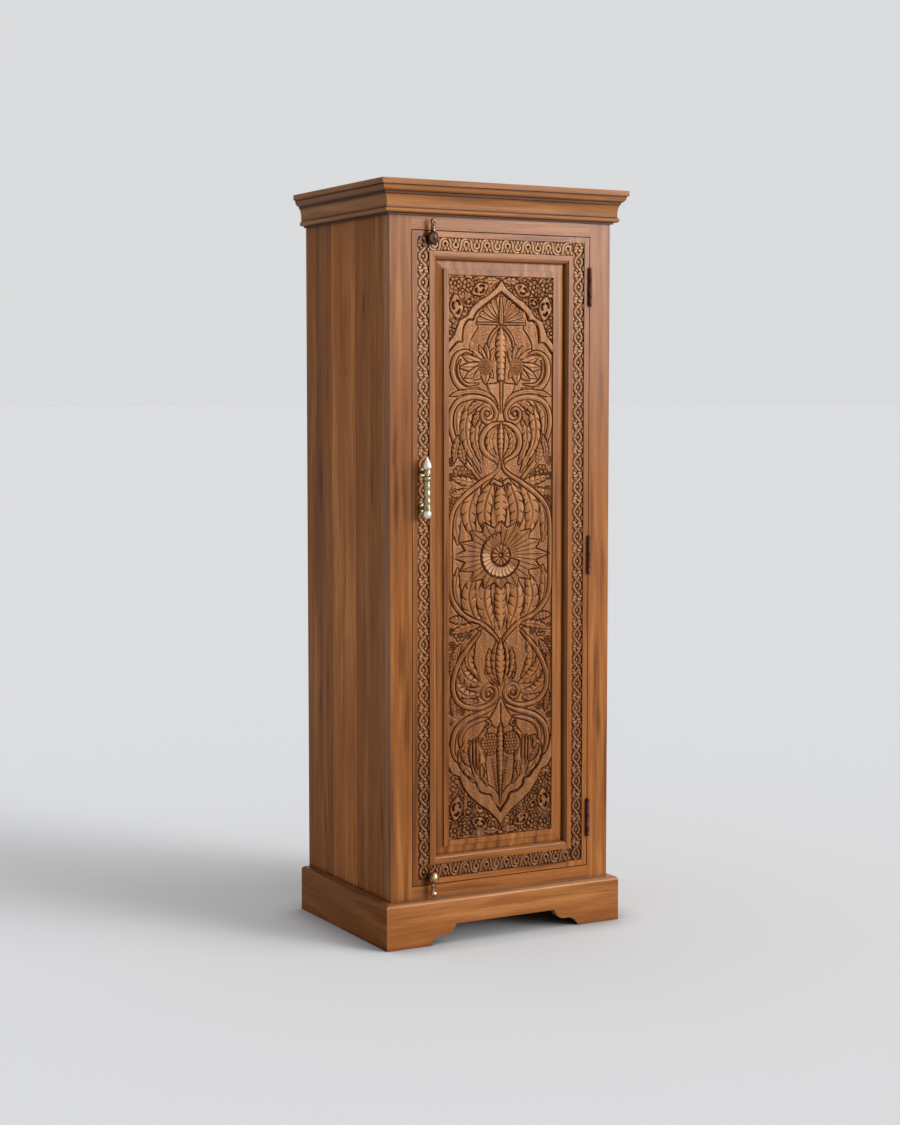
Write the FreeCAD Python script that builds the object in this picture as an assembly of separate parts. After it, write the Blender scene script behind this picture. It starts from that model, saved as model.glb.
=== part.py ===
import FreeCAD
import Part
import math
import os

from FreeCAD import Vector

# A tall single-door almirah of solid wood with a carved door, in millimetres.
# X is to the right, Y to the back, Z up. The origin is under the middle of the whole piece.

# Overall sizes
overall_height = 1800.0
body_width = 604.0
body_depth = 456.0

# Boards of the carcass
side_thickness = 22.0
top_board_thickness = 20.0
bottom_board_thickness = 20.0
bottom_board_drop = 23.5       # from the top edge of the lower frame rail down to the bottom board
back_board_thickness = 12.0
back_board_count = 3
back_tongue_width = 6.0
back_tongue_thickness = 4.0
wood_fit = 0.2                 # room left in a mortise, a groove or a housing

# Face frame round the door
frame_thickness = 28.0
frame_stile_width = 57.0
frame_top_rail_show = 32.0     # height of the rail seen between door and cornice
frame_bottom_rail_show = 32.5  # height of the rail seen between door and plinth
frame_bottom_rail_hidden = 45.0
frame_tenon_length = 30.0
frame_tenon_thickness = 9.0
tenon_shoulder = 8.0

# Plinth with bracket feet
plinth_height = 109.0
plinth_thickness = 22.0
plinth_edge_round = 9.0
plinth_back_thickness = 20.0
foot_width = 118.0             # from the end of the plinth to the opening, at the floor
cutout_ledge_run = 38.0        # from the foot in to the ledge between the two curves
cutout_top_run = 30.0          # from the ledge in to the straight top
cutout_ledge_height = 22.0
cutout_height = 46.0
glue_block_size = 40.0
glue_block_floor_gap = 8.0

# Cornice, as steps out from the body and down from the top
cornice_fillet_height = 13.0
cornice_fillet_step = 4.5
cornice_ovolo_height = 15.0
cornice_ovolo_depth = 8.0
cornice_list_step = 2.0
cornice_list_height = 5.0
cornice_cove_depth = 4.5
cornice_cove_height = 24.0
cornice_band_height = 7.0
cornice_bead_height = 12.0
cornice_bead_bulge = 6.0
cornice_quirk = 2.0
cornice_foot_step = 5.0
cornice_foot_depth = 6.0
cornice_foot_height = 4.0

# Door and its parts
door_gap = 2.0
door_thickness = 27.5
door_edge_flat = 13.5          # plain edge outside the carved border
border_width = 32.0
border_depth = 6.0
door_inner_flat = 12.5         # plain strip inside the carved border
bead_width = 8.0
bead_lip = 1.5
panel_bevel_width = 20.0
panel_bevel_rise = 4.5
panel_step = 4.0
panel_margin = 13.0            # plain margin round the carved field
panel_set_back = 4.0           # field of the panel behind the door's face
panel_tongue_thickness = 8.0
panel_tongue_length = 7.0
panel_groove_depth = 8.5
door_tenon_length = 34.0
door_tenon_thickness = 9.0
field_depth = 10.0             # depth of the pocket that holds the carving
carving_ground = 3.0           # thickness left under the carving
carving_height = 6.5
border_ground = 1.5
border_relief = 4.0

# Shelves
shelf_count = 4
shelf_thickness = 20.0
shelf_front_gap = 22.0
shelf_side_gap = 0.3
cleat_height = 22.0
cleat_depth = 20.0
stop_width = 26.0
stop_thickness = 15.0
stop_overlap = 9.0
stop_end_gap = 8.0

# Butt hinges
hinge_height = 89.0
hinge_inset = 119.0            # from the end of the door to the middle of the hinge
hinge_leaf_thickness = 2.0
hinge_leaf_depth = 21.0
hinge_leaf_gap = 0.4
hinge_barrel_radius = 4.2
hinge_barrel_proud = 3.6
hinge_pin_radius = 2.0
hinge_pin_head_radius = 3.4
hinge_pin_head_height = 2.5
hinge_pin_clearance = 0.05
hinge_knuckles = 5
hinge_knuckle_gap = 0.4
hinge_sweep_clearance = 0.4
screw_length = 16.0
screw_radius = 1.8
screw_head_radius = 3.4
screw_spacing = 32.0
screw_fit = 0.05

# Pull handle
handle_height = 1083.5         # middle between the two posts
handle_post_spacing = 85.0
handle_edge_inset = 26.5       # from the left edge of the door
handle_stand_off = 22.4
handle_grip_radius = 8.8
handle_waist_radius = 7.5
handle_neck_radius = 5.6
handle_neck_height = 4.5
handle_ball_radius = 8.0
handle_ball_height = 13.0
handle_ring_height = 4.0
handle_spigot_radius = 4.5
handle_spigot_reach = 8.0      # length of spigot inside a cap
handle_spigot_fit = 0.05
handle_collar_radius = 9.4
handle_collar_height = 9.0
handle_post_radius = 4.3
handle_rose_radius = 10.5
handle_rose_lift = 2.0
handle_cap_radius = 11.0
handle_cap_seat_radius = 7.2
handle_top_cap_height = 33.0
handle_bottom_cap_height = 21.0
handle_bolt_radius = 2.5
handle_bolt_reach = 12.0       # length of bolt inside the post
handle_bolt_head_radius = 5.5
handle_bolt_head_height = 3.0

# Turn latches
latch_edge_inset = 47.0        # from the left edge of the door
latch_inset = 21.5             # from the end of the door
latch_stand_off = 15.5
latch_hub_radius = 11.5
latch_neck_radius = 6.2
latch_neck_tip_radius = 4.4
latch_stem_radius = 5.6
latch_lever_reach = {"top": 49.0, "bottom": 49.0}
latch_ball_radius = 7.8
latch_ring_radius = 4.7
latch_ring_wire = 2.4
latch_spindle_radius = 4.0
latch_sleeve_radius = 6.5
latch_rose_radius = 10.0
latch_rose_lift = 2.0
latch_running_fit = 0.05
latch_hub_gap = 0.4
latch_sleeve_proud = 1.0       # sleeve beyond the back of the door
tongue_length = 40.0
tongue_width = 13.0
tongue_thickness = 4.0
tongue_gap = 0.4
seat_fit = 0.1                 # room round a rose or sleeve in the wood
strip_fit = 0.3                # room between a carved strip and what passes through it

# Places worked out from the sizes above
cornice_height = (cornice_fillet_height + cornice_ovolo_height + cornice_list_height + cornice_cove_height
                  + cornice_band_height + cornice_bead_height + cornice_foot_height)
cornice_overhang = (cornice_fillet_step + cornice_ovolo_depth + 2 * cornice_list_step + cornice_cove_depth
                    + cornice_quirk + cornice_foot_step + cornice_foot_depth)
half_body = body_width / 2
cutout_floor_reach = half_body + plinth_thickness - foot_width
cutout_ledge_reach = cutout_floor_reach - cutout_ledge_run
cutout_top_reach = cutout_ledge_reach - cutout_top_run
half_inside = half_body - side_thickness
half_opening = half_body - frame_stile_width
front_y = cornice_overhang - (body_depth + cornice_overhang) / 2
back_y = front_y + body_depth
frame_back_y = front_y + frame_thickness
back_board_y = back_y - back_board_thickness
carcass_top = overall_height - top_board_thickness
cornice_bottom = overall_height - cornice_height
opening_top = cornice_bottom - frame_top_rail_show
opening_bottom = plinth_height + frame_bottom_rail_show
bottom_board_top = opening_bottom - bottom_board_drop
bottom_board_under = bottom_board_top - bottom_board_thickness
half_door = half_opening - door_gap
door_top = opening_top - door_gap
door_bottom = opening_bottom + door_gap
door_back_y = front_y + door_thickness
door_middle = (door_top + door_bottom) / 2
border_outer = door_edge_flat
border_inner = border_outer + border_width
door_frame_width = border_inner + door_inner_flat
panel_edge = door_frame_width + bead_width
field_edge = panel_edge + panel_bevel_width + panel_margin
border_floor_y = front_y + border_depth
panel_face_y = front_y + panel_set_back
bevel_top_y = panel_face_y + panel_step
tongue_front_y = bevel_top_y + panel_bevel_rise
panel_back_y = tongue_front_y + panel_tongue_thickness
field_floor_y = panel_face_y + field_depth
field_half_width = half_door - field_edge
field_half_height = (door_top - door_bottom) / 2 - field_edge
hinge_x = half_opening - door_gap / 2
hinge_y = front_y - hinge_barrel_proud
hinge_heights = {
    "top": door_top - hinge_inset,
    "middle": door_middle,
    "bottom": door_bottom + hinge_inset,
}
handle_x = -(half_door - handle_edge_inset)
handle_y = front_y - handle_stand_off
handle_posts_z = [handle_height - handle_post_spacing / 2, handle_height + handle_post_spacing / 2]
latch_x = -(half_door - latch_edge_inset)
latch_y = front_y - latch_stand_off
latch_places = {"top": (door_top - latch_inset, 1), "bottom": (door_bottom + latch_inset, -1)}
sleeve_end_y = door_back_y + latch_sleeve_proud
tongue_y = sleeve_end_y + tongue_gap

along_x = Vector(1, 0, 0)
along_y = Vector(0, 1, 0)
along_z = Vector(0, 0, 1)


def save(name, shape):
    shape.exportStep("parts/" + name + ".step")


def box(x0, x1, y0, y1, z0, z1):
    return Part.makeBox(x1 - x0, y1 - y0, z1 - z0, Vector(x0, y0, z0))


def rod(radius, start, end):
    reach = end - start
    return Part.makeCylinder(radius, reach.Length, start, reach)


def mirrored(shape):
    return shape.mirror(Vector(0, 0, 0), along_x)


def fused(shapes):
    return shapes[0].multiFuse(shapes[1:]).removeSplitter()


def outline_face(start, steps, place):
    """A face from an outline: a step is one point for a line, two for an arc, three for a curve."""
    edges = []
    here = place(*start)
    for step in steps:
        points = [here] + [place(*point) for point in step]
        if len(step) == 1:
            edges.append(Part.LineSegment(*points).toShape())
        elif len(step) == 2:
            edges.append(Part.Arc(*points).toShape())
        else:
            edges.append(bent_edge(points))
        here = points[-1]
    edges.append(Part.LineSegment(here, place(*start)).toShape())
    return Part.Face(Part.Wire(edges))


def bent_edge(points):
    curve = Part.BezierCurve()
    curve.setPoles(points)
    return curve.toShape()


def turned(start, steps, x, y):
    """A solid turned about the upright line at x, y from an outline of radius and height."""
    face = outline_face(start, steps, lambda radius, height: Vector(x + radius, y, height))
    return face.revolve(Vector(x, y, 0), along_z, 360)


# Face frame

def frame_rail_heights():
    lower = (plinth_height - frame_bottom_rail_hidden, opening_bottom)
    upper = (opening_top, carcass_top)
    return {"bottom": lower, "top": upper}


def frame_tenon(side, heights, room):
    """A rail's tenon at one end; side is -1 or 1, room makes it a mortise."""
    middle_y = front_y + frame_thickness / 2
    inner = side * half_opening
    outer = side * (half_opening + frame_tenon_length + room)
    return box(min(inner, outer), max(inner, outer),
               middle_y - frame_tenon_thickness / 2 - room, middle_y + frame_tenon_thickness / 2 + room,
               heights[0] + tenon_shoulder - room, heights[1] - tenon_shoulder + room)


def frame_stile(side):
    inner = side * half_opening
    outer = side * half_body
    stile = box(min(inner, outer), max(inner, outer), front_y, frame_back_y, 0, carcass_top)
    for heights in frame_rail_heights().values():
        stile = stile.cut(frame_tenon(side, heights, wood_fit))
    return stile


def frame_rail(heights):
    rail = box(-half_opening, half_opening, front_y, frame_back_y, *heights)
    return fused([rail, frame_tenon(-1, heights, 0), frame_tenon(1, heights, 0)])


# Carcass boards

def side_panel(side):
    inner = side * half_inside
    outer = side * half_body
    return box(min(inner, outer), max(inner, outer), frame_back_y, back_y, 0, carcass_top)


def bottom_board():
    return box(-half_inside, half_inside, frame_back_y, back_board_y, bottom_board_under, bottom_board_top)


def top_board():
    return box(-half_body, half_body, front_y, back_y, carcass_top, overall_height)


def back_board(index):
    """One upright plank with a tongue on its right edge and a groove on its left."""
    width = 2 * half_inside / back_board_count
    left = -half_inside + index * width
    right = left + width
    middle_y = back_board_y + back_board_thickness / 2
    board = box(left, right, back_board_y, back_y, bottom_board_under, carcass_top)
    if index < back_board_count - 1:
        tongue = box(right, right + back_tongue_width,
                     middle_y - back_tongue_thickness / 2, middle_y + back_tongue_thickness / 2,
                     bottom_board_under, carcass_top)
        board = fused([board, tongue])
    if index > 0:
        half_groove = back_tongue_thickness / 2 + wood_fit
        groove = box(left, left + back_tongue_width + wood_fit,
                     middle_y - half_groove, middle_y + half_groove, bottom_board_under, carcass_top)
        board = board.cut(groove)
    return board


def shelf_heights():
    clear = (carcass_top - bottom_board_top - shelf_count * shelf_thickness) / (shelf_count + 1)
    return [bottom_board_top + clear + index * (clear + shelf_thickness) for index in range(shelf_count)]


def shelf(height):
    reach = half_inside - shelf_side_gap
    return box(-reach, reach, frame_back_y + shelf_front_gap, back_board_y - shelf_side_gap,
               height, height + shelf_thickness)


def shelf_cleats():
    cleats = []
    for height in shelf_heights():
        cleat = box(half_inside - cleat_depth, half_inside, frame_back_y + shelf_front_gap, back_board_y,
                    height - cleat_height, height)
        cleats += [cleat, mirrored(cleat)]
    return Part.makeCompound(cleats)


def door_stop():
    inner = -half_opening + stop_overlap
    return box(inner - stop_width, inner, frame_back_y, frame_back_y + stop_thickness,
               opening_bottom + stop_end_gap, opening_top - stop_end_gap)


# Mouldings that run round the front and both sides

def moulding_runs(start, steps):
    """Front, left and right lengths of one section, mitred at the front corners."""
    front_face = outline_face(start, steps, lambda out, z: Vector(0, front_y - out, z))
    right_face = outline_face(start, steps, lambda out, z: Vector(half_body + out, 0, z))
    reach = max(step[-1][0] for step in steps)
    width = 2 * (half_body + reach)
    front_face.translate(Vector(-half_body - reach, 0, 0))
    front = front_face.extrude(Vector(width, 0, 0))
    right_face.translate(Vector(0, front_y - reach, 0))
    right = right_face.extrude(Vector(0, body_depth + reach, 0))
    corner = mitre_wedge(reach)
    front = front.cut(corner).cut(mirrored(corner))
    right = right.common(fused([corner, behind_front(reach)]))
    return {"front": front, "left": mirrored(right), "right": right}


def mitre_wedge(reach):
    """The part of the right front corner that belongs to the side length."""
    points = [Vector(half_body, front_y, 0), Vector(half_body + reach, front_y - reach, 0),
              Vector(half_body + reach, front_y, 0)]
    triangle = Part.Face(Part.makePolygon(points + points[:1]))
    return triangle.extrude(Vector(0, 0, overall_height))


def behind_front(reach):
    return box(half_body, half_body + reach, front_y, back_y, 0, overall_height)


def cornice_runs():
    top = overall_height
    ovolo_out = cornice_overhang - cornice_fillet_step
    ovolo_top = top - cornice_fillet_height
    ovolo_end = (ovolo_out - cornice_ovolo_depth, ovolo_top - cornice_ovolo_height)
    ovolo_middle = (ovolo_out - cornice_ovolo_depth * 0.25, ovolo_top - cornice_ovolo_height * 0.6)
    list_out = ovolo_end[0] - cornice_list_step
    list_end = ovolo_end[1] - cornice_list_height
    cove_out = list_out - cornice_list_step
    cove_end = (cove_out - cornice_cove_depth, list_end - cornice_cove_height)
    cove_middle = (cove_out - cornice_cove_depth * 0.8, list_end - cornice_cove_height * 0.5)
    band_end = cove_end[1] - cornice_band_height
    bead_out = cove_end[0] - cornice_quirk
    bead_end = band_end - cornice_bead_height
    steps = [
        [(cornice_overhang, top)],
        [(cornice_overhang, ovolo_top)],
        [(ovolo_out, ovolo_top)],
        [ovolo_middle, ovolo_end],
        [(list_out, ovolo_end[1])],
        [(list_out, list_end)],
        [(cove_out, list_end)],
        [cove_middle, cove_end],
        [(cove_end[0], band_end)],
        [(bead_out, band_end)],
        [(bead_out + cornice_bead_bulge, (band_end + bead_end) / 2), (bead_out, bead_end)],
        [(bead_out - cornice_foot_step, bead_end)],
        [(bead_out - cornice_foot_step, cornice_bottom)],
        [(0, cornice_bottom)],
    ]
    return moulding_runs((0, top), steps)


def plinth_runs():
    out = plinth_thickness
    rounded = plinth_edge_round
    bend = rounded * (1 - math.sqrt(0.5))
    steps = [
        [(out, 0)],
        [(out, plinth_height - rounded)],
        [(out - bend, plinth_height - bend), (out - rounded, plinth_height)],
        [(0, plinth_height)],
    ]
    runs = moulding_runs((0, 0), steps)
    runs["front"] = runs["front"].cut(bracket_cutout())
    return runs


def bracket_cutout():
    """The opening between the bracket feet: a hollow and then a round at each side."""
    hollow = (cutout_ledge_reach + 0.7 * (cutout_floor_reach - cutout_ledge_reach), 0.7 * cutout_ledge_height)
    rise = cutout_height - cutout_ledge_height
    rounding = (cutout_top_reach + 0.3 * (cutout_ledge_reach - cutout_top_reach),
                cutout_ledge_height + 0.3 * rise)
    steps = [
        [hollow, (cutout_ledge_reach, cutout_ledge_height)],
        [rounding, (cutout_top_reach, cutout_height)],
        [(-cutout_top_reach, cutout_height)],
        [(-rounding[0], rounding[1]), (-cutout_ledge_reach, cutout_ledge_height)],
        [(-hollow[0], hollow[1]), (-cutout_floor_reach, 0)],
    ]
    face = outline_face((cutout_floor_reach, 0), steps, lambda x, z: Vector(x, front_y - plinth_thickness, z))
    return face.extrude(Vector(0, plinth_thickness, 0))


def plinth_back():
    return box(-half_inside, half_inside, back_y - plinth_back_thickness, back_y, 0, bottom_board_under)


def plinth_blocks():
    """Glue blocks in the four inner corners of the base."""
    blocks = []
    for y in (frame_back_y, back_y - plinth_back_thickness - glue_block_size):
        block = box(half_inside - glue_block_size, half_inside, y, y + glue_block_size,
                    glue_block_floor_gap, bottom_board_under)
        blocks += [block, mirrored(block)]
    return Part.makeCompound(blocks)


# Door

def door_ring(outer, inner, y0, y1):
    """A rectangular ring lying between two insets from the door's edge."""
    whole = box(-half_door + outer, half_door - outer, y0, y1, door_bottom + outer, door_top - outer)
    hole = box(-half_door + inner, half_door - inner, y0, y1, door_bottom + inner, door_top - inner)
    return whole.cut(hole)


def door_rail_heights():
    return {
        "bottom": (door_bottom, door_bottom + door_frame_width),
        "top": (door_top - door_frame_width, door_top),
    }


def door_tenon(side, heights, room):
    inner = side * (half_door - door_frame_width)
    outer = side * (half_door - door_frame_width + door_tenon_length + room)
    middle_y = (tongue_front_y + panel_back_y) / 2
    return box(min(inner, outer), max(inner, outer),
               middle_y - door_tenon_thickness / 2 - room, middle_y + door_tenon_thickness / 2 + room,
               heights[0] + tenon_shoulder - room, heights[1] - tenon_shoulder + room)


def door_cuts():
    """Everything cut out of the door's frame: border channel, panel groove and bored holes."""
    channel = door_ring(border_outer, border_inner, front_y, border_floor_y)
    inner = door_frame_width
    groove = door_ring(inner - panel_groove_depth, inner, tongue_front_y, panel_back_y)
    cuts = [channel, groove]
    for z in handle_posts_z:
        cuts.append(bored(handle_x, z, handle_bolt_radius + seat_fit))
    for z, direction in latch_places.values():
        cuts.append(bored(latch_x, z, latch_sleeve_radius + seat_fit))
        seat_centre = Vector(latch_x, border_floor_y, z)
        cuts.append(rod(latch_rose_radius + seat_fit, Vector(latch_x, front_y, z), seat_centre))
    return cuts


def bored(x, z, radius):
    return rod(radius, Vector(x, front_y, z), Vector(x, door_back_y, z))


def door_stile(side):
    inner = side * (half_door - door_frame_width)
    outer = side * half_door
    stile = box(min(inner, outer), max(inner, outer), front_y, door_back_y, door_bottom, door_top)
    for heights in door_rail_heights().values():
        stile = stile.cut(door_tenon(side, heights, wood_fit))
    return stile.cut(door_cuts())


def door_rail(heights):
    reach = half_door - door_frame_width
    rail = box(-reach, reach, front_y, door_back_y, *heights)
    rail = fused([rail, door_tenon(-1, heights, 0), door_tenon(1, heights, 0)])
    return rail.cut(door_cuts())


def door_panel():
    """A fielded panel: tongue in the groove, bevel, small step, flat field and a sunk pocket."""
    tongue = inset_box(door_frame_width - panel_tongue_length, tongue_front_y, panel_back_y)
    bevel = frustum(panel_edge, panel_edge + panel_bevel_width, tongue_front_y, bevel_top_y)
    raised = inset_box(panel_edge + panel_bevel_width, panel_face_y, tongue_front_y)
    pocket = inset_box(field_edge, panel_face_y, field_floor_y)
    return fused([tongue, bevel, raised]).cut(pocket)


def inset_box(inset, y0, y1):
    return box(-half_door + inset, half_door - inset, y0, y1, door_bottom + inset, door_top - inset)


def inset_wire(inset, y):
    x = half_door - inset
    low = door_bottom + inset
    high = door_top - inset
    corners = [Vector(-x, y, low), Vector(x, y, low), Vector(x, y, high), Vector(-x, y, high)]
    return Part.makePolygon(corners + corners[:1])


def frustum(outer, inner, y_outer, y_inner):
    return Part.makeLoft([inset_wire(outer, y_outer), inset_wire(inner, y_inner)], True, True)


def panel_beads():
    """Quarter-round beads that hold the panel, mitred at the corners."""
    reach = half_door - door_frame_width
    low = door_bottom + door_frame_width
    bead_back = tongue_front_y
    lip_y = front_y + bead_lip
    fullness = 0.55
    bulge = [(bead_width * fullness, lip_y), (bead_width, bead_back - (bead_back - lip_y) * fullness)]
    steps = [[(0, lip_y)], bulge + [(bead_width, bead_back)]]
    upright = outline_face((0, bead_back), steps, lambda out, y: Vector(-reach + out, y, low))
    level = outline_face((0, bead_back), steps, lambda out, y: Vector(-reach, y, low + out))
    height = 2 * (door_middle - low)
    left = upright.extrude(Vector(0, 0, height)).cut(corner_wedges(reach, low, height))
    bottom = level.extrude(Vector(2 * reach, 0, 0)).common(corner_wedges(reach, low, height))
    beads = {"left": left, "right": mirrored(left)}
    beads["bottom"] = bottom
    beads["top"] = bottom.mirror(Vector(0, 0, door_middle), along_z)
    return beads


def corner_wedges(reach, low, height):
    """Triangles under and over the mitre lines, deep enough for both level beads."""
    lower = [Vector(-reach, front_y, low), Vector(reach, front_y, low), Vector(0, front_y, low + reach)]
    triangle = Part.Face(Part.makePolygon(lower + lower[:1])).extrude(Vector(0, door_thickness, 0))
    return Part.makeCompound([triangle, triangle.mirror(Vector(0, 0, low + height / 2), along_z)])


# Carving, drawn on the upright plane as strokes with few faces

def stroke(points, width):
    """Bands along arcs; every arc has a start, a middle and an end point, and shares its ends."""
    faces = []
    for index in range(0, len(points) - 2, 2):
        faces += arc_band(points[index], points[index + 1], points[index + 2], width)
    return faces


def arc_band(start, middle, end, width):
    line = [Vector(x, 0, z) for x, z in (start, middle, end)]
    circle = Part.Arc(*line).toShape().Curve
    edges = []
    for change in (-width / 2, width / 2):
        scale = 1 + change / circle.Radius
        edges.append([circle.Center + (point - circle.Center) * scale for point in line])
    inner, outer = edges
    lines = [
        Part.Arc(*inner).toShape(),
        Part.LineSegment(inner[2], outer[2]).toShape(),
        Part.Arc(outer[2], outer[1], outer[0]).toShape(),
        Part.LineSegment(outer[0], inner[0]).toShape(),
    ]
    return [Part.Face(Part.Wire(lines)), disc(start[0], start[1], width / 2), disc(end[0], end[1], width / 2)]


def disc(x, z, radius):
    circle = Part.Circle(Vector(x, 0, z), along_y, radius)
    return Part.Face(Part.Wire([circle.toShape()]))


def petal(x, z, length, width, angle):
    """A pointed leaf from its root at x, z, bounded by two arcs."""
    turn = math.radians(angle)
    tip = (x + length * math.cos(turn), z + length * math.sin(turn))
    middle = ((x + tip[0]) / 2, (z + tip[1]) / 2)
    aside = (-math.sin(turn) * width / 2, math.cos(turn) * width / 2)
    root = Vector(x, 0, z)
    point = Vector(tip[0], 0, tip[1])
    left = Vector(middle[0] + aside[0], 0, middle[1] + aside[1])
    right = Vector(middle[0] - aside[0], 0, middle[1] - aside[1])
    edges = [Part.Arc(root, left, point).toShape(), Part.Arc(point, right, root).toShape()]
    return Part.Face(Part.Wire(edges))


# The right upper quarter of the design, in shares of the field's half width and half height
arch_line = [(0, 0.955), (0.20, 0.925), (0.40, 0.903), (0.54, 0.885), (0.53, 0.855),
             (0.72, 0.838), (0.76, 0.768), (0.90, 0.762), (1.0, 0.728)]
inner_arch_line = [(0, 0.915), (0.16, 0.893), (0.33, 0.872), (0.43, 0.858), (0.42, 0.835),
                   (0.59, 0.820), (0.64, 0.748)]
flower_frame_line = [(0.18, 0.600), (0.62, 0.598), (0.84, 0.645), (0.91, 0.680), (0.74, 0.720)]
lyre_line = [(0.16, 0.540), (0.44, 0.575), (0.75, 0.560), (0.93, 0.490), (0.78, 0.380), (0.60, 0.320),
             (0.33, 0.285)]
medallion_line = [(0.33, 0.280), (0.78, 0.225), (0.97, 0.120)]
volute_place = (0.25, 0.515)
flower_place = (0.29, 0.682)
bud_place = (0.0, 0.345)
arch_width = 9.0
inner_arch_width = 4.0
scroll_width = 7.0
volute_radius = 18.0
flower_radius = 17.0
flower_petal_length = 46.0
flower_petal_width = 13.0
bud_length = 92.0
bud_width = 60.0
rosette_radius = 50.0
wing_width = 46.0
spear_length = 130.0
spear_width = 22.0


def on_field(point):
    return (point[0] * field_half_width, point[1] * field_half_height)


def quarter_design():
    faces = []
    lines = [(arch_line, arch_width), (inner_arch_line, inner_arch_width), (flower_frame_line, scroll_width),
             (lyre_line, scroll_width), (medallion_line, scroll_width)]
    for line, width in lines:
        faces += stroke([on_field(point) for point in line], width)
    faces.append(disc(*on_field(volute_place), volute_radius))
    x, z = on_field(flower_place)
    faces.append(disc(x, z, flower_radius))
    for angle in range(-20, 141, 40):
        faces.append(petal(x, z, flower_petal_length, flower_petal_width, angle))
    return faces


def middle_design():
    """What stands on the upright middle line, for the upper half."""
    x, z = on_field(bud_place)
    spear_root = on_field(flower_place)[1] - flower_petal_length
    return [
        petal(x, z, bud_length, bud_width, 90),
        petal(0, spear_root, spear_length, spear_width, 90),
        petal(0, rosette_radius * 0.8, bud_length, bud_width / 2, 90),
    ]


def carving_faces():
    quarter = Part.makeCompound(quarter_design())
    right_half = [quarter, quarter.mirror(Vector(0, 0, 0), along_z)]
    upper_middle = Part.makeCompound(middle_design())
    whole = right_half + [mirrored(half) for half in right_half]
    whole += [upper_middle, upper_middle.mirror(Vector(0, 0, 0), along_z)]
    wing_length = field_half_width * 0.95
    whole += [petal(0, 0, wing_length, wing_width, angle) for angle in (0, 180)]
    whole.append(disc(0, 0, rosette_radius))
    faces = [face for shape in whole for face in shape.Faces]
    return faces


def field_sheet(half_width, half_height):
    corners = [Vector(-half_width, 0, -half_height), Vector(half_width, 0, -half_height),
               Vector(half_width, 0, half_height), Vector(-half_width, 0, half_height)]
    return Part.Face(Part.makePolygon(corners + corners[:1]))


def carved_board(half_width, half_height, drawing, back, ground, relief):
    """A board with everything outside the drawing sunk, leaving the ground's thickness."""
    board = box(-half_width, half_width, back - ground - relief, back, -half_height, half_height)
    sunk = field_sheet(half_width, half_height).cut(drawing)
    sunk.translate(Vector(0, back - ground - relief, 0))
    return board.cut([face.extrude(Vector(0, relief, 0)) for face in sunk.Faces])


def panel_carving():
    """The carved board in the panel's pocket, with the main lines of the design."""
    board = carved_board(field_half_width - strip_fit, field_half_height - strip_fit, carving_faces(),
                         field_floor_y, carving_ground, carving_height)
    board.translate(Vector(0, 0, door_middle))
    return board


# Carved border strips
vine_pitch = 57.0
vine_swing = 8.5
vine_width = 5.0
vine_rosette_radius = 6.5


def vine_faces(length):
    """A waving stem with a rosette in every hollow, along a strip of this length on Z."""
    count = max(1, round(length / vine_pitch))
    pitch = length / count
    faces = []
    for index in range(count):
        low = -length / 2 + index * pitch
        points = [(0, low), (vine_swing, low + pitch / 4), (0, low + pitch / 2),
                  (-vine_swing, low + 3 * pitch / 4), (0, low + pitch)]
        faces += stroke(points, vine_width)
        faces.append(disc(-vine_rosette_radius, low + pitch / 4, vine_rosette_radius))
        faces.append(disc(vine_rosette_radius, low + 3 * pitch / 4, vine_rosette_radius))
    return faces


def border_strip(length):
    """An upright strip centred on the origin with its back on the channel floor."""
    return carved_board(border_width / 2 - strip_fit, length / 2 - strip_fit, vine_faces(length),
                        border_floor_y, border_ground, border_relief)


def border_strips():
    tall = door_top - door_bottom - 2 * border_outer
    wide = 2 * (half_door - border_inner)
    middle = (border_outer + border_inner) / 2
    upright = border_strip(tall)
    level = border_strip(wide)
    level.rotate(Vector(0, 0, 0), along_y, 90)
    places = {
        "left": (upright, -half_door + middle, door_middle),
        "right": (upright, half_door - middle, door_middle),
        "top": (level, 0, door_top - middle),
        "bottom": (level, 0, door_bottom + middle),
    }
    strips = {}
    for name, (shape, x, z) in places.items():
        strip = shape.copy()
        strip.translate(Vector(x, 0, z))
        strips[name] = strip.cut(border_holes())
    return strips


def border_holes():
    """Room in the strips for the roses of the handle and the latches."""
    holes = []
    places = [(handle_x, z, handle_rose_radius) for z in handle_posts_z]
    places += [(latch_x, z, latch_rose_radius) for z, direction in latch_places.values()]
    for x, z, radius in places:
        holes.append(rod(radius + strip_fit, Vector(x, front_y, z), Vector(x, border_floor_y, z)))
    return holes


# Hinges

def knuckle_spans(height, owner):
    """Heights of the knuckles of one leaf; the frame leaf owns the even ones. The end ones are flush."""
    step = hinge_height / hinge_knuckles
    low = height - hinge_height / 2
    spans = []
    for index in range(owner, hinge_knuckles, 2):
        below = hinge_knuckle_gap / 2 if index > 0 else 0
        above = hinge_knuckle_gap / 2 if index < hinge_knuckles - 1 else 0
        start = low + index * step
        spans.append((start + below, start + step - above))
    return spans


def barrel(radius, low, high):
    return rod(radius, Vector(hinge_x, hinge_y, low), Vector(hinge_x, hinge_y, high))


def leaf_faces(side):
    """Inner and outer X of a leaf; side is 1 on the frame and -1 on the door."""
    near = hinge_x + side * hinge_leaf_gap / 2
    far = near + side * hinge_leaf_thickness
    return near, far


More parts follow.
